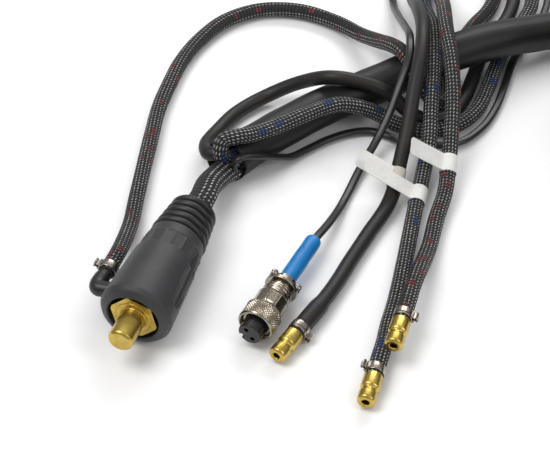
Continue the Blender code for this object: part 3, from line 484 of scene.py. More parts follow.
def grid_mesh(name, rings, lengths, closed_v=False, ends=(None, None)):
    """Faces over an array of rings (count, sides, 3) in mm, with a point to close each end.
    The UV map holds turns round a ring and the ring's own length along the piece."""
    count, sides, _ = rings.shape
    verts = rings.reshape(-1, 3)
    ii, jj = np.meshgrid(np.arange(count if closed_v else count - 1), np.arange(sides), indexing="ij")
    nxt_i = (ii + 1) % count
    nxt_j = (jj + 1) % sides
    quads = np.stack([ii * sides + jj, ii * sides + nxt_j, nxt_i * sides + nxt_j,
                      nxt_i * sides + jj], axis=-1).reshape(-1, 4)
    faces = quads.tolist()
    extra = []
    for end, row in zip(ends, (0, count - 1)):
        if end is None:
            continue
        tip = len(verts) + len(extra)
        extra.append(end)
        base = row * sides
        for k in range(sides):
            a, b = base + k, base + (k + 1) % sides
            faces.append([tip, b, a] if row == 0 else [tip, a, b])
    if extra:
        verts = np.vstack([verts, np.array(extra)])
    mesh = bpy.data.meshes.new(name)
    mesh.from_pydata((verts * MM).tolist(), [], faces)
    layer = mesh.uv_layers.new(name="cord")
    quad_u = np.stack([jj, jj + 1, jj + 1, jj], axis=-1).reshape(-1, 4) / sides
    low = lengths[ii.reshape(-1)]
    high = lengths[nxt_i.reshape(-1)]
    quad_v = np.stack([low, low, high, high], axis=-1)
    flat = np.zeros((len(mesh.loops), 2))
    flat[:quad_u.size, 0] = quad_u.reshape(-1)
    flat[:quad_u.size, 1] = quad_v.reshape(-1)
    for face in mesh.polygons[len(quads):]:
        for loop in face.loop_indices:
            ring_row = 0 if mesh.loops[loop].vertex_index < sides else count - 1
            flat[loop] = (0.0, lengths[ring_row])
    layer.data.foreach_set("uv", flat.reshape(-1))
    bm = bmesh.new()
    bm.from_mesh(mesh)
    bmesh.ops.recalc_face_normals(bm, faces=bm.faces)
    bm.to_mesh(mesh)
    bm.free()
    return mesh


# a corner wider than this, or with less room than this many mm, is left as it is
NEARLY_STRAIGHT = math.radians(172.0)
SHORTEST_ROUNDING = 0.02


def rounded(profile, radius, closed):
    """The profile with its corners rounded off."""
    points = [Vector(p) for p in profile]
    count = len(points)
    out = []
    for k, point in enumerate(points):
        if not closed and k in (0, count - 1):
            out.append(tuple(point))
            continue
        before = points[k - 1] - point
        after = points[(k + 1) % count] - point
        reach = min(radius, before.length * 0.45, after.length * 0.45)
        if reach < SHORTEST_ROUNDING or before.angle(after, math.pi) > NEARLY_STRAIGHT:
            out.append(tuple(point))
            continue
        a = point + before.normalized() * reach
        b = point + after.normalized() * reach
        for t in (0.0, 0.3, 0.7, 1.0):
            u = 1.0 - t
            out.append(tuple(a * (u * u) + point * (2 * u * t) + b * (t * t)))
    return out


def refined(profile, step, closed):
    """Points added so that no stretch of the profile is longer than the step."""
    points = list(profile) + ([profile[0]] if closed else [])
    out = []
    for a, b in zip(points, points[1:]):
        n = max(1, int(math.ceil(math.dist(a, b) / step)))
        out += [(a[0] + (b[0] - a[0]) * k / n, a[1] + (b[1] - a[1]) * k / n) for k in range(n)]
    return out if closed else out + [points[-1]]


def turned_mesh(name, profile, closed=False, steps=72, fillet=0.3, step=None, shape=None):
    """A (radius, z) outline turned about Z, its corners rounded.  shape may move the
    surface: it takes arrays of radius, z and angle and gives the radius back."""
    outline = rounded(profile, fillet, closed)
    if step:
        outline = refined(outline, step, closed)
    tips = [None, None]
    if not closed:
        if outline[0][0] < 1e-6:
            tips[0] = (0.0, 0.0, outline[0][1])
            outline = outline[1:]
        if outline[-1][0] < 1e-6:
            tips[1] = (0.0, 0.0, outline[-1][1])
            outline = outline[:-1]
    r = np.array([p[0] for p in outline])[:, None]
    z = np.array([p[1] for p in outline])[:, None]
    angle = (np.arange(steps) * TAU / steps)[None, :]
    rr, zz, aa = np.broadcast_arrays(r, z, angle)
    if shape:
        rr = shape(rr, zz, aa)
    rings = np.stack([rr * np.cos(aa), rr * np.sin(aa), zz], axis=-1)
    run = np.concatenate([[0.0], np.cumsum(np.hypot(np.diff(r[:, 0]), np.diff(z[:, 0])))])
    return grid_mesh(name, rings, run, closed, tips)


def lathe(name, profile, spot, slot, body="root", nodes=(), sharp=40.0, **options):
    return keep(name, turned_mesh(name, profile, **options), spot, slot, body, nodes, sharp)


def arc(radius, start, stop, count):
    """Points of a flat arc, its two ends included, with its angles in degrees."""
    turns = [math.radians(start + (stop - start) * k / (count - 1)) for k in range(count)]
    return [(radius * math.cos(a), radius * math.sin(a)) for a in turns]


def prism_mesh(name, outline, z0, z1, bevel=0.0):
    """A flat outline thickened between two heights, its rims bevelled."""
    bm = bmesh.new()
    face = bm.faces.new([bm.verts.new((x * MM, y * MM, z0 * MM)) for x, y in outline])
    made = bmesh.ops.extrude_face_region(bm, geom=[face])
    up = [v for v in made["geom"] if isinstance(v, bmesh.types.BMVert)]
    bmesh.ops.translate(bm, vec=(0, 0, (z1 - z0) * MM), verts=up)
    bmesh.ops.recalc_face_normals(bm, faces=bm.faces)
    if bevel:
        rims = [e for e in bm.edges if all(abs(v.co.z - e.verts[0].co.z) < 1e-9 for v in e.verts)]
        bmesh.ops.bevel(bm, geom=rims, offset=bevel * MM, segments=2, affect="EDGES")
    mesh = bpy.data.meshes.new(name)
    bm.to_mesh(mesh)
    bm.free()
    return mesh


# the angle from which an edge of a cut piece stays sharp
CUT_SHARP = 35.0


def cut_away(obj, *meshes, operation="DIFFERENCE"):
    """Cuts tool meshes, which lie in the piece's own frame, out of a piece, or joins them
    to it or keeps what they share, as the operation says."""
    for number, mesh in enumerate(meshes):
        other = bpy.data.objects.new(obj.name + "_tool", mesh)
        scene.collection.objects.link(other)
        other.matrix_world = obj.matrix_world
        step = obj.modifiers.new("cut" + str(number), "BOOLEAN")
        step.operation = operation
        step.solver = "EXACT"
        step.object = other
        bpy.context.view_layer.update()
        graph = bpy.context.evaluated_depsgraph_get()
        result = bpy.data.meshes.new_from_object(obj.evaluated_get(graph))
        obj.modifiers.clear()
        old = obj.data
        obj.data = result
        bpy.data.meshes.remove(old)
        bpy.data.objects.remove(other)
    obj.data.shade_smooth()
    obj.data.set_sharp_from_angle(angle=math.radians(CUT_SHARP))


# ---- cords ---------------------------------------------------------------------------
def smooth_route(points, samples=24):
    """The centripetal Catmull-Rom curve that the CAD's cords follow."""
    knots = [np.array(p, float) for p in points]
    knots = [2 * knots[0] - knots[1], *knots, 2 * knots[-1] - knots[-2]]
    line = []
    for i in range(1, len(knots) - 2):
        p0, p1, p2, p3 = knots[i - 1:i + 3]
        t1 = np.linalg.norm(p1 - p0) ** 0.5
        t2 = t1 + np.linalg.norm(p2 - p1) ** 0.5
        t3 = t2 + np.linalg.norm(p3 - p2) ** 0.5
        for k in range(samples):
            t = t1 + (t2 - t1) * k / samples
            a1 = p0 + (p1 - p0) * t / t1
            a2 = p1 + (p2 - p1) * (t - t1) / (t2 - t1)
            a3 = p2 + (p3 - p2) * (t - t2) / (t3 - t2)
            b1 = a1 + (a2 - a1) * t / t2
            b2 = a2 + (a3 - a2) * (t - t1) / (t3 - t1)
            line.append(b1 + (b2 - b1) * (t - t1) / (t2 - t1))
    line.append(knots[-2])
    return np.array(line)


def run_along(line):
    """The length from the start of a line to each of its points."""
    return np.concatenate([[0.0], np.cumsum(np.linalg.norm(np.diff(line, axis=0), axis=1))])


def even(line, step):
    """The same line with points an even step apart."""
    run = run_along(line)
    count = max(8, int(round(run[-1] / step)))
    want = np.linspace(0.0, run[-1], count + 1)
    return np.stack([np.interp(want, run, line[:, k]) for k in range(3)], axis=1)


def soften(line, times):
    """The line with its small kinks worn off, its ends where they were."""
    for _ in range(times):
        inner = 0.25 * line[:-2] + 0.5 * line[1:-1] + 0.25 * line[2:]
        line = np.vstack([line[:1], inner, line[-1:]])
    return line


def cord_frames(line, upright=False):
    """Tangents and two normals along a line, turning as little as they can, or kept
    upright."""
    way = np.gradient(line, axis=0)
    way /= np.linalg.norm(way, axis=1)[:, None]
    up = np.array([0.0, 0.0, 1.0])
    normal = np.zeros_like(line)
    first = up - way[0] * way[0].dot(up)
    if np.linalg.norm(first) < 0.1:
        first = np.array([1.0, 0.0, 0.0])
    normal[0] = first / np.linalg.norm(first)
    for k in range(1, len(line)):
        guess = up if upright else normal[k - 1]
        guess = guess - way[k] * way[k].dot(guess)
        size = np.linalg.norm(guess)
        normal[k] = normal[k - 1] if size < 1e-3 else guess / size
    return way, normal, np.cross(way, normal)


def sweep(line, run, sides, shape, upright=False):
    """A tube along a line.  shape gives the radius in mm, or two half widths, for arrays
    of length and angle, where angle 0 is the frame's normal."""
    way, normal, other = cord_frames(line, upright)
    angle = np.arange(sides) * TAU / sides
    radius = shape(*np.broadcast_arrays(run[:, None], angle[None, :]))
    high, wide = radius if isinstance(radius, tuple) else (radius, radius)
    return (line[:, None, :]
            + high[:, :, None] * np.cos(angle)[None, :, None] * normal[:, None, :]
            + wide[:, :, None] * np.sin(angle)[None, :, None] * other[:, None, :]), way


# how far the middle of a cord's cut end stands out, mm
ROUND_END = 0.6


def cord_piece(name, line, run, sides, shape, slot, nodes, upright):
    """A cord's mesh, its cut ends slightly rounded."""
    rings, way = sweep(line, run, sides, shape, upright)
    rows = [rings]
    lengths = [run]
    for end, sign in ((0, -1.0), (-1, 1.0)):
        centre = line[end]
        for t in (0.5, 1.0):
            shrink = 1.0 - 0.12 * t * t
            bulge = way[end] * sign * ROUND_END * math.sin(t * math.pi / 2)
            ring = centre + (rings[end] - centre) * shrink + bulge
            if end == 0:
                rows.insert(0, ring[None])
                lengths.insert(0, run[:1] - 0.3 * t)
            else:
                rows.append(ring[None])
                lengths.append(run[-1:] + 0.3 * t)
    tips = [tuple(line[0] - way[0] * ROUND_END), tuple(line[-1] + way[-1] * ROUND_END)]
    mesh = grid_mesh(name, np.vstack(rows), np.concatenate(lengths), ends=tips)
    return keep(name, mesh, Matrix.Identity(4), slot, "root", nodes, 50.0)


def ripple(run, angle, seed, size, count):
    """A soft uneven swell of the surface: a few waves along and round the cord."""
    rng = np.random.default_rng(seed)
    total = np.zeros_like(run)
    for _ in range(count):
        pitch = rng.uniform(18.0, 70.0)
        lobes = int(rng.integers(0, 3))
        total += np.sin(run * TAU / pitch + lobes * angle + rng.uniform(0.0, TAU))
    return size * total / math.sqrt(count)


# how far the cover's lip stays off the floor
LIP_CLEARANCE = 0.15
# the way out of the cover's mouth, level, and the mouth's right-hand side
MOUTH = np.array(COVER_ROUTE[0], float)
OUT = np.array([COVER_ROUTE[0][0] - COVER_ROUTE[1][0], COVER_ROUTE[0][1] - COVER_ROUTE[1][1], 0.0])
OUT /= np.linalg.norm(OUT)
RIGHT = np.array([-OUT[1], OUT[0], 0.0])


def in_mouth(along, right, up):
    """A point told from the middle of the cover's mouth, mm."""
    return tuple(MOUTH + OUT * along + RIGHT * right + np.array([0.0, 0.0, up]))


def wound_cover():
    """The cover as one cord from the torch to its mouth: over the coil, four turns
    outwards and down beside and on each other, and the free lead."""
    line = []

    def turn(start, stop, r0, r1, z0, z1, pattern="cos"):
        """Part of a turn in steps of 2 degrees; the next part starts 2 degrees further on."""
        for k in range(int((stop - start) / 2.0) + 1):
            share = k * 2.0 / (stop - start)
            t = 0.5 * math.pi * share * share * (3.0 - 2.0 * share)
            grow = math.sin(t) if pattern == "sin" else 1.0 - math.cos(t)
            a = math.radians(start + (stop - start) * share)
            r = r0 + (r1 - r0) * grow
            line.append((COIL_CENTRE[0] + r * math.cos(a), COIL_CENTRE[1] + r * math.sin(a),
                         z0 + (z1 - z0) * grow))

    line += [(TORCH_BASE[0], TORCH_BASE[1] + 0.3 + k * 4.0, TORCH_Z) for k in range(4)]
    for k in range(46):
        share = k / 45.0
        a = math.radians(TAIL_BEND_START * share)
        climb = share * share * (3.0 - 2.0 * share)
        line.append((TAIL_BEND_CENTRE[0] + TAIL_BEND_R * math.cos(a),
                     TAIL_BEND_CENTRE[1] + TAIL_BEND_R * math.sin(a),
                     TORCH_Z + (TAIL_Z - TORCH_Z) * climb))
    turn(TAIL_BEND_START + 2.0, 215.0, OUTER_TURN, OUTER_TURN, TAIL_Z, TAIL_Z)
    turn(217.0, 295.0, OUTER_TURN, OUTER_TURN, TAIL_Z, UPPER_Z)
    turn(297.0, 575.0, OUTER_TURN, OUTER_TURN, UPPER_Z, UPPER_Z)
    turn(577.0, 655.0, OUTER_TURN, INNER_TURN, UPPER_Z, UPPER_Z, "sin")
    turn(657.0, 855.0, INNER_TURN, INNER_TURN, UPPER_Z, UPPER_Z)
    turn(857.0, 935.0, INNER_TURN, INNER_TURN, UPPER_Z, LOWER_Z)
    turn(937.0, 1215.0, INNER_TURN, INNER_TURN, LOWER_Z, LOWER_Z)
    turn(1217.0, 1295.0, INNER_TURN, OUTER_TURN, LOWER_Z, LOWER_Z, "sin")
    turn(1297.0, 1538.0, OUTER_TURN, OUTER_TURN, LOWER_Z, LOWER_Z)
    leaves = math.radians(1540.0)
    joint = (COIL_CENTRE[0] + OUTER_TURN * math.cos(leaves),
             COIL_CENTRE[1] + OUTER_TURN * math.sin(leaves), LOWER_Z)
    lead = smooth_route([joint, (86.0, 208.5, 12.9), *COVER_ROUTE[::-1]])
    return soften(even(np.vstack([np.array(line), lead]), 3.0), 6)


def cover():
    """The cover's sheath, flattened a little and flared towards its folded mouth."""
    path = wound_cover()
    run = run_along(path)
    total = run[-1]

    def shape(s, a):
        left = total - s
        soft = ripple(s, a, 4, 0.16, 9)
        flat = -0.25 * np.cos(2.0 * a) * np.clip(1.0 - left / 420.0, 0.0, 1.0)
        flare = 1.5 * np.exp(-(left / 13.0) ** 2)
        return COVER_R - 0.1 + soft + flat + flare

    rings, _ = sweep(path, run, 44, shape)
    # the lip reaches further out on its lower left, and folds over into a dark recess
    spoke = rings[-1] - path[-1]
    low_left = spoke @ (-RIGHT * 0.75 + np.array([0.0, 0.0, -0.66]))
    reach = (3.2 + 4.2 * low_left / np.abs(low_left).max())[:, None]
    rows = [rings]
    runs = [run]
    lip = ((0.35, 1.01), (0.7, 1.03), (0.92, 1.03), (1.0, 0.99), (0.97, 0.94), (0.8, 0.92))
    for share, grow in lip:
        rows.append((path[-1] + spoke * grow + OUT * reach * share)[None])
        runs.append(run[-1:] + 6.0 * share + (0.0 if grow > 0.98 else 2.0))
    for back, grow in ((0.0, 0.9), (6.0, 0.9), (14.0, 0.84), (24.0, 0.8), (28.0, 0.78)):
        rows.append((path[-1] + spoke * grow - OUT * back)[None])
        runs.append(run[-1:] + 10.0 + back)
    full = np.vstack(rows)
    full[:, :, 2] = np.maximum(full[:, :, 2], LIP_CLEARANCE)
    tips = [tuple(path[0]), tuple(path[-1] - OUT * 28.5)]
    mesh = grid_mesh("cable_cover", full, np.concatenate(runs), ends=tips)
    obj = keep("cable_cover", mesh, Matrix.Identity(4), "cover_rubber", "root",
               ("cover_lead", "cover_coil", "cover_tail"), 60.0)
    return obj, path


def free_cord(name, points, sides, shape, slot, nodes, step=1.5, upright=False):
    """A cord along its route, and the line it follows.  shape also takes the whole length."""
    line = even(soften(smooth_route(points), 3), step)
    run = run_along(line)
    obj = cord_piece(name, line, run, sides, lambda s, a: shape(s, a, run[-1]), slot, nodes, upright)
    return obj, line


def hose_shape(radius, seed, swell, swell_length, nip=0.35):
    """Radius of a hose: nearly even, nipped under its clamps, and swollen where it is
    pushed over its fitting."""
    def shape(s, a, total):
        left = total - s
        r = radius + ripple(s, a, seed, 0.05, 5)
        r = r + swell * 0.5 * (1.0 + np.tanh((swell_length - left) / 2.2))
        return r - nip * np.exp(-((left - 3.1) / 2.4) ** 4)
    return shape


plug = level(PLUG_FACE, PLUG_HEADING)
aviation = level(AVIATION_FACE, AVIATION_HEADING)


def on_axis(frame_of, z):
    """A point on a connector's axis, mm."""
    return tuple(frame_of @ (Vector((0, 0, z)) * MM) / MM)


def end_heading(route):
    return math.degrees(math.atan2(route[-1][1] - route[-2][1], route[-1][0] - route[-2][0]))


hose_frames = {name: level(route[-1], end_heading(route)) for name, route in (
    ("gas", GAS_ROUTE), ("water_in", WATER_IN_ROUTE), ("water_out", WATER_OUT_ROUTE))}
elbow_frame = level(WATER_OUT_ROUTE[0], PLUG_HEADING)

cover_obj, cover_line = cover()
power_obj, power_line = free_cord(
    "power_cable_braid",
    [on_axis(plug, -52.6), on_axis(plug, -60), on_axis(plug, -69), *POWER_ROUTE[::-1],
     in_mouth(-4.0, 1.0, -3.6), in_mouth(-11.0, 0.0, -3.4)],
    44, lambda s, a, total: POWER_R - 0.05 + ripple(s, a, 11, 0.04, 4), "power_braid",
    ("power_cable",), 1.0)
gas_obj, gas_line = free_cord(
    "gas_hose_rubber", [in_mouth(-9.0, -4.2, 5.2), in_mouth(0.5, -4.6, 4.6), (-217.6, 67.4, 14.4),
                        (-221.4, 68.4, 13.0), (-223.4, 73.5, 10.8), *GAS_ROUTE],
    30, hose_shape(GAS_R, 21, 0.85, 24.0, 0.5), "gas_rubber", ("gas_hose",))
water_in_obj, water_in_line = free_cord(
    "water_in_braid", [in_mouth(-10.0, 3.6, 3.4), in_mouth(-1.5, 3.4, 3.4), in_mouth(5.0, 3.2, 4.9),
                       in_mouth(8.7, 2.6, 9.6), in_mouth(8.2, 2.0, 14.6), *WATER_IN_ROUTE],
    30, hose_shape(WATER_R, 31, 0.15, 18.0), "blue_fleck_braid", ("water_in_hose",))
water_out_obj, water_out_line = free_cord(
    "water_out_braid", WATER_OUT_ROUTE, 30, hose_shape(WATER_R, 41, 0.15, 18.0),
    "red_fleck_braid", ("water_out_hose",))


def lead_shape(s, a, total):
    """Half height and half width of an oval twin lead, with a fine groove above and below."""
    groove = 0.28 * np.exp(-(np.sin(a) / 0.22) ** 2)
    return 0.74 * LEAD_R - groove, np.full_like(s, LEAD_R)


sleeve_end = [on_axis(aviation, z) for z in (-70.0, -62.0, -54.0)]
control_obj, control_line = free_cord(
    "switch_lead", [in_mouth(-9.0, 8.2, -3.4), in_mouth(0.0, 8.6, -2.2), in_mouth(5.2, 9.3, 1.4),
                    in_mouth(6.6, 10.3, 6.0), in_mouth(4.4, 11.4, 9.6), *CONTROL_ROUTE, *sleeve_end],
    24, lead_shape, "lead_black", ("control_lead",), upright=True)


# ---- power plug ----------------------------------------------------------------------
def plug_housing():
    """The rubber sleeve: its facet band, and a blank oval recess on its side."""
    def shape(r, z, a):
        outside = r > 14.4
        panel = outside & (z < -35.9) & (z > -44.9)
        sector = TAU / SLEEVE_FACETS
        turn = np.mod(a + 0.06, sector) - sector / 2.0
        flat = r * math.cos(sector / 2.0) / np.cos(turn)
        seam = 0.3 * np.exp(-((np.abs(turn) - sector / 2.0) * 15.5 / 0.28) ** 2)
        r = np.where(panel, flat + 0.12 + seam, r)
        # the recess has a low raised rim
        across = (np.mod(a - math.radians(104.0) + math.pi, TAU) - math.pi) * 17.4
        away = np.sqrt((across / 4.6) ** 2 + 1e-9) ** 2.6 + (np.abs(z + 23.5) / 18.6) ** 2.6
        dish = 1.0 / (1.0 + np.exp((away - 0.86) * 16.0))
        rim = 0.16 * np.exp(-((away - 1.12) / 0.16) ** 2)
        return np.where(outside & (z < -1.5) & (z > -44.0), r - 1.9 * dish + rim, r)

    lathe("plug_housing", [
        (13.5, 4.6), (14.1, 5.2), (17.5, 3.3), (19.1, 1.0), (16.75, -35.2), (16.0, -35.5),
        (15.75, -35.9), (15.7, -45.0), (15.55, -45.2), (15.2, -45.9), (14.9, -51.6), (9.4, -51.6),
        (9.4, -17.4), (13.5, -17.4)],
        plug, "plug_rubber", nodes=("plug_sleeve",), closed=True, steps=272, fillet=0.45,
        step=0.75, shape=shape, sharp=60.0)


def plug_contact():
    lathe("plug_contact_pin", [
        (0, 21.5), (5.5, 21.5), (6.5, 20.3), (6.5, 4.6), (7.1, 4.3), (7.1, -10.0), (0, -10.0)],
        plug, "brass", nodes=("plug_pin",), fillet=0.5)
    corners = arc(HEX_CORNER_R, HEX_PHASE, HEX_PHASE + 300, 6)
    nut = prism_mesh("plug_contact_hex", corners, -9.9, 4.2, 0.0)
    obj = keep("plug_contact_hex", nut, plug, "brass", sharp=25.0)
    cone = turned_mesh("tool", [(0, 4.6), (11.7, 4.6), (13.4, 3.3), (13.4, -20.0), (0, -20.0)],
                       steps=96, fillet=0.0)
    cut_away(obj, cone, operation="INTERSECT")
    washer = [(6.8, 4.1), (9.5, 4.1), (9.5, 4.4), (9.1, 4.7), (7.2, 4.7), (6.8, 4.45)]
    lathe("plug_contact_washer", washer, plug, "brass", closed=True, fillet=0.12)


def plug_boot():
    """The boot behind the sleeve: five ribs, each a little smaller than the one before."""
    first, ribs, ribbed, gap = -52.0, 5, 24.4, 0.06
    pitch = ribbed / ribs
    outline = [(7.5, first), (13.2, first)]
    for k in range(ribs):
        crest, root = 15.1 - 0.62 * k, 13.1 - 0.62 * k
        top = first - k * pitch
        for t in range(9):
            u = t / 8.0
            swell = 0.0
            if gap < u < 1.0 - gap:
                swell = math.sin(math.pi * (u - gap) / (1.0 - 2.0 * gap)) ** 0.45
            outline.append((root + (crest - root) * swell, top - 0.35 - (pitch - 0.45) * u))
    last = first - ribbed
    outline += [(10.6, last + 0.15), (9.6, last), (7.15, last), (7.15, last + 3.0), (7.5, last + 5.0)]
    lathe("plug_boot_ribs", outline, plug, "boot_rubber", nodes=("plug_boot",), closed=True,
          steps=96, fillet=0.12, sharp=75.0)


def side_elbow():
    """The elbow out of the plug's side, with a thicker heel on the outside of its bend."""
    z, heel_at, cuff, around_bend = -10.5, 12.6, 2.2, 12
    route = [(1.4, -12.9, z), (1.7, -18.5, z), (2.0, -22.8, z), (2.15, -25.2, -11.0),
             (2.3, -26.6, -13.2), (2.3, -26.7, -16.2), (2.3, -26.2, -20.3)]
    line = even(smooth_route(route), 0.5)
    run = run_along(line)
    total = run[-1]
    _, normal, other = cord_frames(line)
    middle = int(len(line) * heel_at / total)
    after = min(len(line) - 1, middle + around_bend)
    bend = line[middle] - 0.5 * (line[middle - around_bend] + line[after])
    heel_side = math.atan2(bend @ other[middle], bend @ normal[middle])

    def shape(s, a):
        heel = 0.7 * np.exp(-((s - heel_at) / 2.6) ** 2) * np.clip(np.cos(a - heel_side), 0.0, 1.0)
        return 4.15 + heel - 0.35 * (s > total - cuff)

    rings, _ = sweep(line, run, 40, shape)
    mesh = grid_mesh("side_elbow_body", rings, run, ends=[tuple(line[0]), tuple(line[-1])])
    keep("side_elbow_body", mesh, plug, "boot_rubber", nodes=("side_elbow",), sharp=60.0)
    lathe("side_elbow_collar", [(4.2, 0.0), (5.0, 0.0), (5.0, -1.4), (4.2, -1.4)],
          plug @ shifted(1.62, -16.9, z) @ turned(90.0, 0, 0), "boot_rubber", closed=True, fillet=0.4)


# ---- hose ends -----------------------------------------------------------------------
def ear_clamp(name, hose_r, spot, ear_turn, node):
    """A stepless ear clamp: a band, its overlapping end, and the pinched ear."""
    inner, outer = hose_r + 0.05, hose_r + 0.75
    lathe(name, [(outer, -0.7), (outer, -5.5), (inner, -5.5), (inner, -0.7)], spot, "clamp_steel",
          nodes=(node,), sharp=35.0, closed=True, fillet=0.28)
    first, last = ear_turn + 12.0, ear_turn + 124.0
    lap = arc(outer + 0.32, first, last, 15) + arc(outer - 0.15, last, first, 15)
    tongue = prism_mesh(name + "_lap", lap, -4.3, -1.9, 0.12)
    keep(name + "_lap", tongue, spot, "clamp_steel", sharp=35.0)
    # the ear: legs pinched together under a flattened loop
    side = [(outer - 0.5, 2.6), (outer + 0.55, 2.1), (outer + 0.8, 1.15), (outer + 1.5, 1.0),
            (outer + 1.9, 1.65), (outer + 2.5, 1.75), (outer + 2.85, 1.2), (outer + 2.62, 0.0)]
    inner_side = [(outer + 2.05, 0.0), (outer + 2.2, 0.95), (outer + 2.15, 1.1), (outer + 1.95, 0.95),
                  (outer + 1.55, 0.4), (outer + 0.7, 0.5), (outer - 0.5, 1.4)]
    outline = side + [(x, -y) for x, y in side[-2::-1] + inner_side[::-1]] + inner_side[1:]
    turn = math.radians(ear_turn)
    placed = [(x * math.cos(turn) - y * math.sin(turn), x * math.sin(turn) + y * math.cos(turn))
              for x, y in outline]
    ear = prism_mesh(name + "_ear", placed, -5.0, -1.2, 0.18)
    keep(name + "_ear", ear, spot, "clamp_steel", sharp=35.0)


def nipple(name, spot, node):
    """A brass quick-connect nipple, and a black disc some way down its bore: painted shade in the hole."""
    outline = [(1.85, 17.6), (2.2, 18.0), (3.4, 18.0), (4.4, 17.4), (4.7, 16.5), (4.7, 11.9), (3.9, 11.2),
               (3.9, 9.9), (4.5, 9.3), (4.95, 8.5), (4.95, 0.9), (4.3, 0.3), (1.85, 0.3)]
    lathe(name, outline, spot, "brass", nodes=(node,), closed=True, steps=80, fillet=0.35, sharp=50.0)
    # a black disc down the open bore: painted shade in the hole
    lathe(name + "_bore_painted_shade", [(0, 11.0), (1.8, 11.0), (1.8, 10.0), (0, 10.0)], spot, "insert_black", fillet=0.0)


def hose_ends():
    ends = (("gas", GAS_R + 0.45, 68), ("water_in", WATER_R, 238), ("water_out", WATER_R, 98))
    for name, hose_r, ear_turn in ends:
        spot = hose_frames[name]
        ear_clamp(name + "_ear_clamp", hose_r, spot, ear_turn, name + "_clamp")
        nipple(name + "_brass_nipple", spot, name + "_nipple")
    ear_clamp("elbow_ear_clamp", WATER_R, elbow_frame, 250, "elbow_clamp")


# ---- aviation plug -------------------------------------------------------------------
def knurl(low, high, count, depth, near):
    """Crossed grooves over part of a turned surface."""
    def shape(r, z, a):
        rows = (z - low) / (TAU * near / count)
        one = np.abs(np.mod(a * count / TAU + rows, 1.0) - 0.5) * 2.0
        two = np.abs(np.mod(a * count / TAU - rows, 1.0) - 0.5) * 2.0
        mask = (z > low) & (z < high) & (r > near - 0.35)
        return np.where(mask, r - depth * (1.0 - np.minimum(one, two)), r)
    return shape


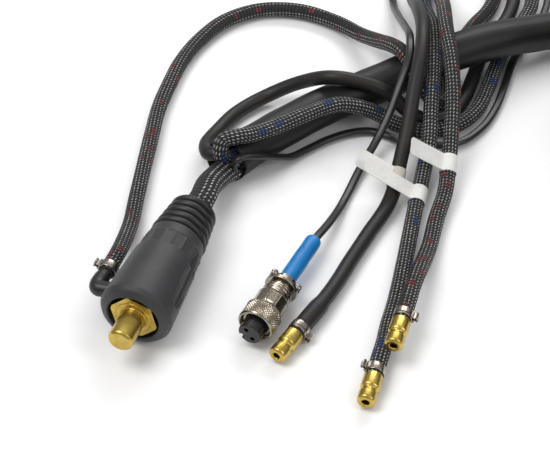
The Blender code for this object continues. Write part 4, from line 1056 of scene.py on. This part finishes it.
def aviation_plug():
    """Coupling ring, shell, insert, rear nut, saddle with its screws, and the blue sleeve."""
    lathe("avi_knurled_ring", [
        (8.4, -6.1), (9.2, -6.3), (9.7, -7.0), (9.7, -16.1), (9.2, -16.8), (7.4, -17.0), (7.4, -14.9),
        (8.2, -14.9), (8.2, -7.6)], aviation, "nickel", "coupling_ring", ("avi_ring",), closed=True,
        steps=400, fillet=0.15, step=0.25, shape=knurl(-15.9, -7.2, 40, 0.5, 9.7), sharp=25.0)

    def flats(r, z, a):
        sector = TAU / 10.0
        turn = np.mod(a, sector) - sector / 2.0
        polygon = 8.35 * math.cos(sector / 2.0) / np.cos(turn) + 0.25
        crease = 0.25 * np.exp(-((np.abs(turn) - sector / 2.0) * 8.3 / 0.3) ** 2)
        mask = (z < -17.7) & (z > -25.9) & (r > 7.6)
        return np.where(mask, np.minimum(r, polygon) - crease, r)

    lathe("avi_shell", [
        (7.9, -8.4), (7.9, -14.6), (7.1, -14.6), (7.1, -17.2), (8.45, -17.4), (8.45, -26.0),
        (8.0, -26.6), (7.8, -27.0), (7.8, -28.6), (7.6, -28.9), (7.6, -29.4), (7.8, -29.7),
        (7.8, -30.8), (7.5, -31.1), (5.0, -31.1), (5.0, -20.0), (6.5, -20.0), (6.5, -8.4)],
        aviation, "nickel", nodes=("avi_body",), closed=True, steps=240, fillet=0.2, step=0.8,
        shape=flats, sharp=30.0)

    insert = lathe("avi_insert_block", [(0, 0), (5.7, 0), (6.2, -0.5), (6.2, -19.7), (0, -19.7)],
                   aviation, "insert_black", nodes=("avi_insert",), steps=96, fillet=0.2)
    tools = []
    for side in (-CONTACT_R, CONTACT_R):
        hole = turned_mesh("tool", [(0, 1.0), (1.25, 1.0), (1.25, -14.0), (0, -14.0)], steps=32,
                           fillet=0.0)
        hole.transform(spun(CONTACT_ANGLE) @ shifted(side, 0, 0))
        tools.append(hole)
    notch = prism_mesh("tool", [(4.0, -1.3), (8.0, -1.3), (8.0, 1.3), (4.0, 1.3)], -7.0, 1.0)
    notch.transform(spun(KEY_ANGLE))
    tools.append(notch)
    cut_away(insert, *tools)

    back = aviation @ spun(SADDLE_TURN)
    lathe("avi_gland_nut", [
        (7.2, -31.4), (7.4, -31.7), (7.4, -32.5), (6.1, -32.9), (6.1, -34.3), (8.7, -34.6), (8.9, -34.9),
        (8.9, -36.4), (8.6, -36.7), (4.75, -36.7), (4.75, -31.4)],
        back, "nickel", nodes=("avi_gland",), closed=True, steps=96, fillet=0.15)
    ear, split, reach, bore, shoulder = 3.2, 0.25, 8.7, 4.75, 6.1
    first = math.degrees(math.asin(ear / shoulder))
    for side, place, front, nodes in ((1, "lower", -36.65, ()), (-1, "upper", -37.0, ("avi_clamp_bar",))):
        right_half = [(split, reach), (ear * 0.8, reach), (ear, reach - 0.7)]
        right_half += [(x, y) for y, x in arc(shoulder, first, 180.0 - first, 25)]
        right_half += [(ear, -reach + 0.7), (ear * 0.8, -reach), (split, -reach)]
        right_half += [(x, y) for y, x in arc(bore, 177.0, 3.0, 25)]
        half = prism_mesh("avi_saddle", [(side * x, y) for x, y in right_half], -40.7, front, 0.3)
        obj = keep("avi_saddle_" + place, half, back, "nickel", nodes=nodes, sharp=30.0)
        for y in (-SCREW_Y, SCREW_Y):
            hole = turned_mesh("tool", [(0, 8), (1.2, 8), (1.2, -8), (0, -8)], steps=24, fillet=0.0)
            hole.transform(shifted(0, y, SCREW_Z) @ spun(90, "Y"))
            cut_away(obj, hole)
    for letter, y in (("a", -SCREW_Y), ("b", SCREW_Y)):
        screw = lathe("avi_saddle_screw_" + letter, [
            (0, 5.1), (0.9, 5.05), (1.5, 4.75), (1.85, 4.2), (1.85, 3.5), (0.95, 3.5), (0.95, -2.9),
            (0.7, -3.2), (0, -3.2)],
            back @ shifted(0, y, SCREW_Z) @ spun(-90, "Y"), "clamp_steel",
            nodes=("avi_clamp_screw_" + letter,), steps=48, fillet=0.15)
        slots = []
        for turn in (20, 110):
            bar = prism_mesh("tool", [(-1.3, -0.24), (1.3, -0.24), (1.3, 0.24), (-1.3, 0.24)], 4.55, 6.0)
            bar.transform(spun(turn))
            slots.append(bar)
        cut_away(screw, *slots)

    def heat_shrunk(r, z, a):
        wave = 0.06 * np.sin(3.0 * a + z * 0.5) + 0.05 * np.sin(2.0 * a - z * 0.22)
        return np.where(r > 3.6, r + wave, r)

    lathe("blue_sleeve", [
        (3.9, -36.9), (4.25, -37.1), (4.4, -38.2), (4.45, -54.0), (4.4, -72.0), (4.15, -73.7), (3.5, -74.5),
        (2.7, -74.5), (2.5, -74.0), (2.5, -37.2), (3.0, -36.9)],
        aviation, "sleeve_blue", nodes=("lead_sleeve",), closed=True, steps=72, fillet=0.35, step=2.0,
        shape=heat_shrunk, sharp=60.0)


# ---- labels --------------------------------------------------------------------------
def flag_label(name, line, near, hose_r, length, width, rise, sweep_turn, curl, node):
    """A blank paper flag: one strip that wraps the hose, its two halves stuck together and
    curling a little."""
    away = np.linalg.norm(line - np.array(near), axis=1)
    k = int(away[1:-1].argmin()) + 1
    way = Vector(line[k + 1] - line[k - 1]).normalized()
    spot = shifted(*line[k]) @ way.to_track_quat("Z", "X").to_matrix().to_4x4()
    inner, outer = hose_r + 0.3, hose_r + 0.52
    lathe(name, [(outer, width / 2), (outer, -width / 2), (inner, -width / 2), (inner, width / 2)],
          spot, "label", nodes=(node,), closed=True, steps=48, fillet=0.05)
    side_way = (hose_r + 0.6) * math.sqrt(0.5)
    hinge = shifted(side_way, side_way, 0) @ turned(sweep_turn, 0.0, -rise, "ZXY")
    rows = []
    count, across = 60, 8
    for side, order in ((1.0, range(count + 1)), (-1.0, range(count, -1, -1))):
        for i in order:
            u = i / count
            y = -0.8 + (length + 0.8) * u
            short = max(0.0, 2.0 - (length - y))
            half = width / 2.0 - 0.05 - (2.0 - math.sqrt(max(0.0, 4.0 - short * short)))
            bend = curl * u * u + 0.25 * math.sin(5.0 * u + 0.7)
            gap = side * (0.2 + 0.25 * max(0.0, 0.12 - u) * 8.0)
            rows.append([(bend + gap + 0.12 * math.sin(j * 0.8 + 4.0 * u), y, -half + 2 * half * j / across)
                         for j in range(across + 1)])
    total = len(rows)
    bm = bmesh.new()
    verts = [[bm.verts.new(Vector(p) * MM) for p in row] for row in rows]
    for i in range(total):
        nxt = (i + 1) % total
        for j in range(across):
            bm.faces.new((verts[i][j], verts[i][j + 1], verts[nxt][j + 1], verts[nxt][j]))
    for j in (0, across):
        for i in range(count):
            a, b = verts[i][j], verts[i + 1][j]
            c, d = verts[total - 2 - i][j], verts[total - 1 - i][j]
            bm.faces.new((a, b, c, d))
    bmesh.ops.recalc_face_normals(bm, faces=bm.faces)
    mesh = bpy.data.meshes.new(name + "_flag")
    bm.to_mesh(mesh)
    bm.free()
    keep(name + "_flag", mesh, spot @ hinge, "label")


def labels():
    flag_label("water_in_label", water_in_line, (-109.6, 42.0, 5.6), WATER_R, 30.0, 10.5, 31.0, 0.0, 1.2,
               "label_water_in")
    flag_label("gas_label", gas_line, (-121.0, 52.5, 9.5), GAS_R, 20.0, 11.0, 22.0, -12.0, 0.5,
               "label_gas")
    flag_label("water_out_label", water_out_line, (-92.6, 60.5, 11.3), WATER_R, 23.0, 10.5, 40.0, 0.0, 0.8,
               "label_water_out")


# ---- straps round the coil -----------------------------------------------------------
def strap(name, angle, tall, node):
    """A strap round the coil's section, low, or drawn up over the turn that lies on top."""
    half, corner = STRAP_HALF, STRAP_CORNER_R
    reach = half - corner
    lower = [(-reach, -reach, corner, 180.0, 270.0), (reach, -reach, corner, 270.0, 360.0)]
    if tall:
        top = TAIL_Z - STRAP_CENTRE_Z
        slant = math.hypot(COVER_R + reach, top - reach)
        lean = math.atan2(top - reach, COVER_R + reach) + math.asin((COVER_R - corner) / slant)
        lean = math.degrees(lean) + 90.0
        upper = [(COVER_R, top, COVER_R, 0.0, lean), (-reach, reach, corner, lean, 180.0)]
    else:
        upper = [(reach, reach, corner, 0.0, 90.0), (-reach, reach, corner, 90.0, 180.0)]
    outline = []
    for x, y, radius, start, stop in upper + lower:
        outline += [(x + dx, y + dy, 0.0) for dx, dy in arc(radius + 1.1, start, stop, 13)]
    loop = np.array(outline + outline[:1])
    dense = even(loop, 2.0)[:-1]
    run = np.linspace(0.0, run_along(loop)[-1], len(dense) + 1)[:-1]
    ahead = np.roll(dense, -1, axis=0) - np.roll(dense, 1, axis=0)
    ahead /= np.linalg.norm(ahead, axis=1)[:, None]
    # the strap's own section: height off its middle and place across it, mm
    section = [(0.55, -5.6 + 11.2 * k / 8.0) for k in range(9)] + [(0.3, 6.0), (-0.3, 6.0)]
    section += [(-0.45, 5.6 - 11.2 * k / 8.0) for k in range(9)] + [(-0.3, -6.0), (0.3, -6.0)]
    rows = []
    for i, (x, y, _) in enumerate(dense):
        overlap = 0.45 * math.exp(-((i * 2.0 - 26.0) / 14.0) ** 4)
        lifts = [(off + (overlap if off > 0 else 0.0), z) for off, z in section]
        rows.append([(x + ahead[i][1] * lift, y - ahead[i][0] * lift, z) for lift, z in lifts])
    mesh = grid_mesh(name, np.array(rows), run, closed_v=True)
    layer = mesh.uv_layers[0].data
    for loop_corner in mesh.loops:
        across = mesh.vertices[loop_corner.vertex_index].co.z / MM
        layer[loop_corner.index].uv = (across, layer[loop_corner.index].uv[1])
    middle = (INNER_TURN + OUTER_TURN) / 2.0
    way = math.radians(angle)
    centre = shifted(COIL_CENTRE[0] + middle * math.cos(way), COIL_CENTRE[1] + middle * math.sin(way),
                     STRAP_CENTRE_Z)
    keep(name, mesh, centre @ turned(90.0, 0.0, angle), "strap", nodes=(node,), sharp=50.0)


# ---- torch ---------------------------------------------------------------------------
def torch():
    """Handle with its rear boot, neck and head, collet body, nozzle, electrode and back cap."""
    base = level((*TORCH_BASE, TORCH_Z), 270.0)
    boot = [(13.6, 8.0), (13.75, 5.0), (13.6, 2.0), (12.9, 0.9), (12.9, 0.3), (13.4, -0.6), (13.4, -3.4),
            (12.7, -4.4), (12.7, -5.1), (13.2, -6.0), (13.2, -9.0), (12.5, -10.0), (12.5, -10.6),
            (12.8, -11.4), (12.2, -13.2), (11.5, -13.2), (11.5, 8.0)]
    lathe("handle_boot_ribs", boot, base, "boot_rubber", nodes=("handle_boot",), closed=True, steps=96,
          fillet=0.35)

    def grip(r, z, a):
        wave = 0.5 - 0.5 * np.cos((z - 54.0) * TAU / 12.0)
        grooved = (z > 54.0) & (z < 120.0) & (r > 12.0)
        return np.where(grooved, r - 0.75 * (1.0 - wave) ** 6, r)

    front = HANDLE_LENGTH
    lathe("handle_grip", [
        (10.4, front), (12.0, front - 1.6), (13.2, front - 12.0), (HANDLE_R, front - 22.0),
        (HANDLE_R, 12.0), (13.4, 8.3), (11.3, 8.3), (11.3, front - 6.0), (8.3, front - 6.0), (8.3, front)],
        base, "handle_black", nodes=("handle_shell",), closed=True, steps=96, fillet=0.8, step=1.2,
        shape=grip)
    for name, z in (("handle_ring_rear", 16.0), ("handle_ring_front", front - 25.0)):
        low, high = HANDLE_R - 0.3, HANDLE_R + 0.25
        lathe(name, [(low, z + 1.2), (high, z + 0.8), (high, z - 0.8), (low, z - 1.2)],
              base, "head_black", closed=True, steps=96, fillet=0.2)

    head = base @ shifted(0, 0, HEAD_Z) @ spun(HEAD_ANGLE, "X")
    neck = lathe("torch_neck_head", [
        (0, 14.0), (8.3, 14.0), (9.2, 13.6), (9.5, 12.6), (9.5, -11.4), (9.1, -12.4), (8.2, -13.0),
        (0, -13.0)],
        head, "head_black", nodes=("torch_head",), steps=96, fillet=0.3, step=2.5)
    stem = turned_mesh("tool", [
        (0, HEAD_Z), (8.5, HEAD_Z), (8.5, front + 14.0), (8.15, front + 4.0), (8.0, front - 5.3),
        (0, front - 5.3)],
        steps=96, fillet=1.0)
    stem.transform(head.inverted() @ base)
    cut_away(neck, stem, operation="UNION")
    bore = turned_mesh("tool", [(0, 20), (5.2, 20), (5.2, -20), (0, -20)], steps=64, fillet=0.0)
    cut_away(neck, bore)

    lathe("collet_holder", [
        (3.2, 33.0), (4.9, 32.0), (4.9, 18.0), (6.2, 17.6), (6.2, 14.4), (4.9, 14.4), (4.9, -8.0),
        (2.1, -8.0), (2.1, 31.0), (1.6, 33.0)],
        head, "copper", nodes=("collet_body",), closed=True, fillet=0.2)
    lathe("nozzle_ring", [(9.2, 17.4), (9.35, 16.0), (9.2, 14.5), (6.6, 14.5), (6.6, 17.4)],
          head, "seal_grey", nodes=("nozzle_gasket",), closed=True, fillet=0.3)
    lathe("ceramic_cup", [
        (6.6, 60.0), (7.2, 59.5), (7.45, 58.6), (7.6, 48.0), (8.0, 42.0), (9.1, 36.6), (9.2, 35.0),
        (9.2, 19.2), (8.8, 18.1), (6.8, 18.1), (6.8, 36.0), (5.5, 46.0), (5.5, 60.0)],
        head, "ceramic", "nozzle", ("ceramic_nozzle",), closed=True, steps=96, fillet=0.4)
    lathe("tungsten_rod", [(0, 68.0), (0.22, 67.9), (1.2, 62.2), (1.2, -31.7), (0, -31.7)],
          head, "tungsten", "tungsten", ("electrode",), steps=40, fillet=0.1)
    lathe("cap_ring", [(8.15, -13.4), (8.25, -14.0), (8.15, -14.6), (6.2, -14.6), (6.2, -13.4)],
          head, "seal_grey", "cap", ("cap_seal",), closed=True, fillet=0.2)

    def fluted(r, z, a):
        mask = np.clip((-20.5 - z) / 2.0, 0.0, 1.0) * np.clip((z + 40.5) / 2.0, 0.0, 1.0)
        return np.where(r > 6.0, r - 0.32 * mask * (0.5 + 0.5 * np.cos(14.0 * a)) ** 3, r)

    lathe("back_cap_shell", [
        (0, -41.0), (3.2, -41.0), (3.2, -9.0), (4.8, -9.0), (4.8, -14.9), (8.3, -14.9), (8.6, -15.4),
        (8.6, -19.6), (7.95, -21.6), (7.6, -39.0), (7.2, -41.4), (6.0, -43.5), (3.4, -44.8), (0, -45.0)],
        head, "head_black", "cap", ("back_cap",), steps=112, fillet=0.3, step=1.5, shape=fluted)


plug_housing()
plug_contact()
plug_boot()
side_elbow()
hose_ends()
aviation_plug()
labels()
strap("coil_strap_low", 0.0, False, "coil_tie_a")
strap("coil_strap_tall", 165.0, True, "coil_tie_b")
torch()

# ---- finishes of the CAD nodes that still show ---------------------------------------
for name, node in frame["nodes"].items():
    if node.hide_render:
        continue
    look = LOOKS[SLOT_OF[name]]
    for holder in node.material_slots:
        holder.material = look
    if not node.material_slots:
        node.data.materials.append(look)

# ---- the floor -----------------------------------------------------------------------
bm = bmesh.new()
bmesh.ops.create_grid(bm, x_segments=8, y_segments=8, size=4.0)
floor_mesh = bpy.data.meshes.new("floor")
bm.to_mesh(floor_mesh)
bm.free()
floor = bpy.data.objects.new("floor", floor_mesh)
floor.location = (0.0, 0.0, CAD_BOX[0].z - 0.0005)
scene.collection.objects.link(floor)
white = Paint("floor_white")
floor_tone = white.noise(white.where(), 3.0, 2.0)
floor_mesh.materials.append(white.done(
    white.mix(floor_tone, (0.93, 0.93, 0.93), (0.95, 0.95, 0.95)), 0.75))
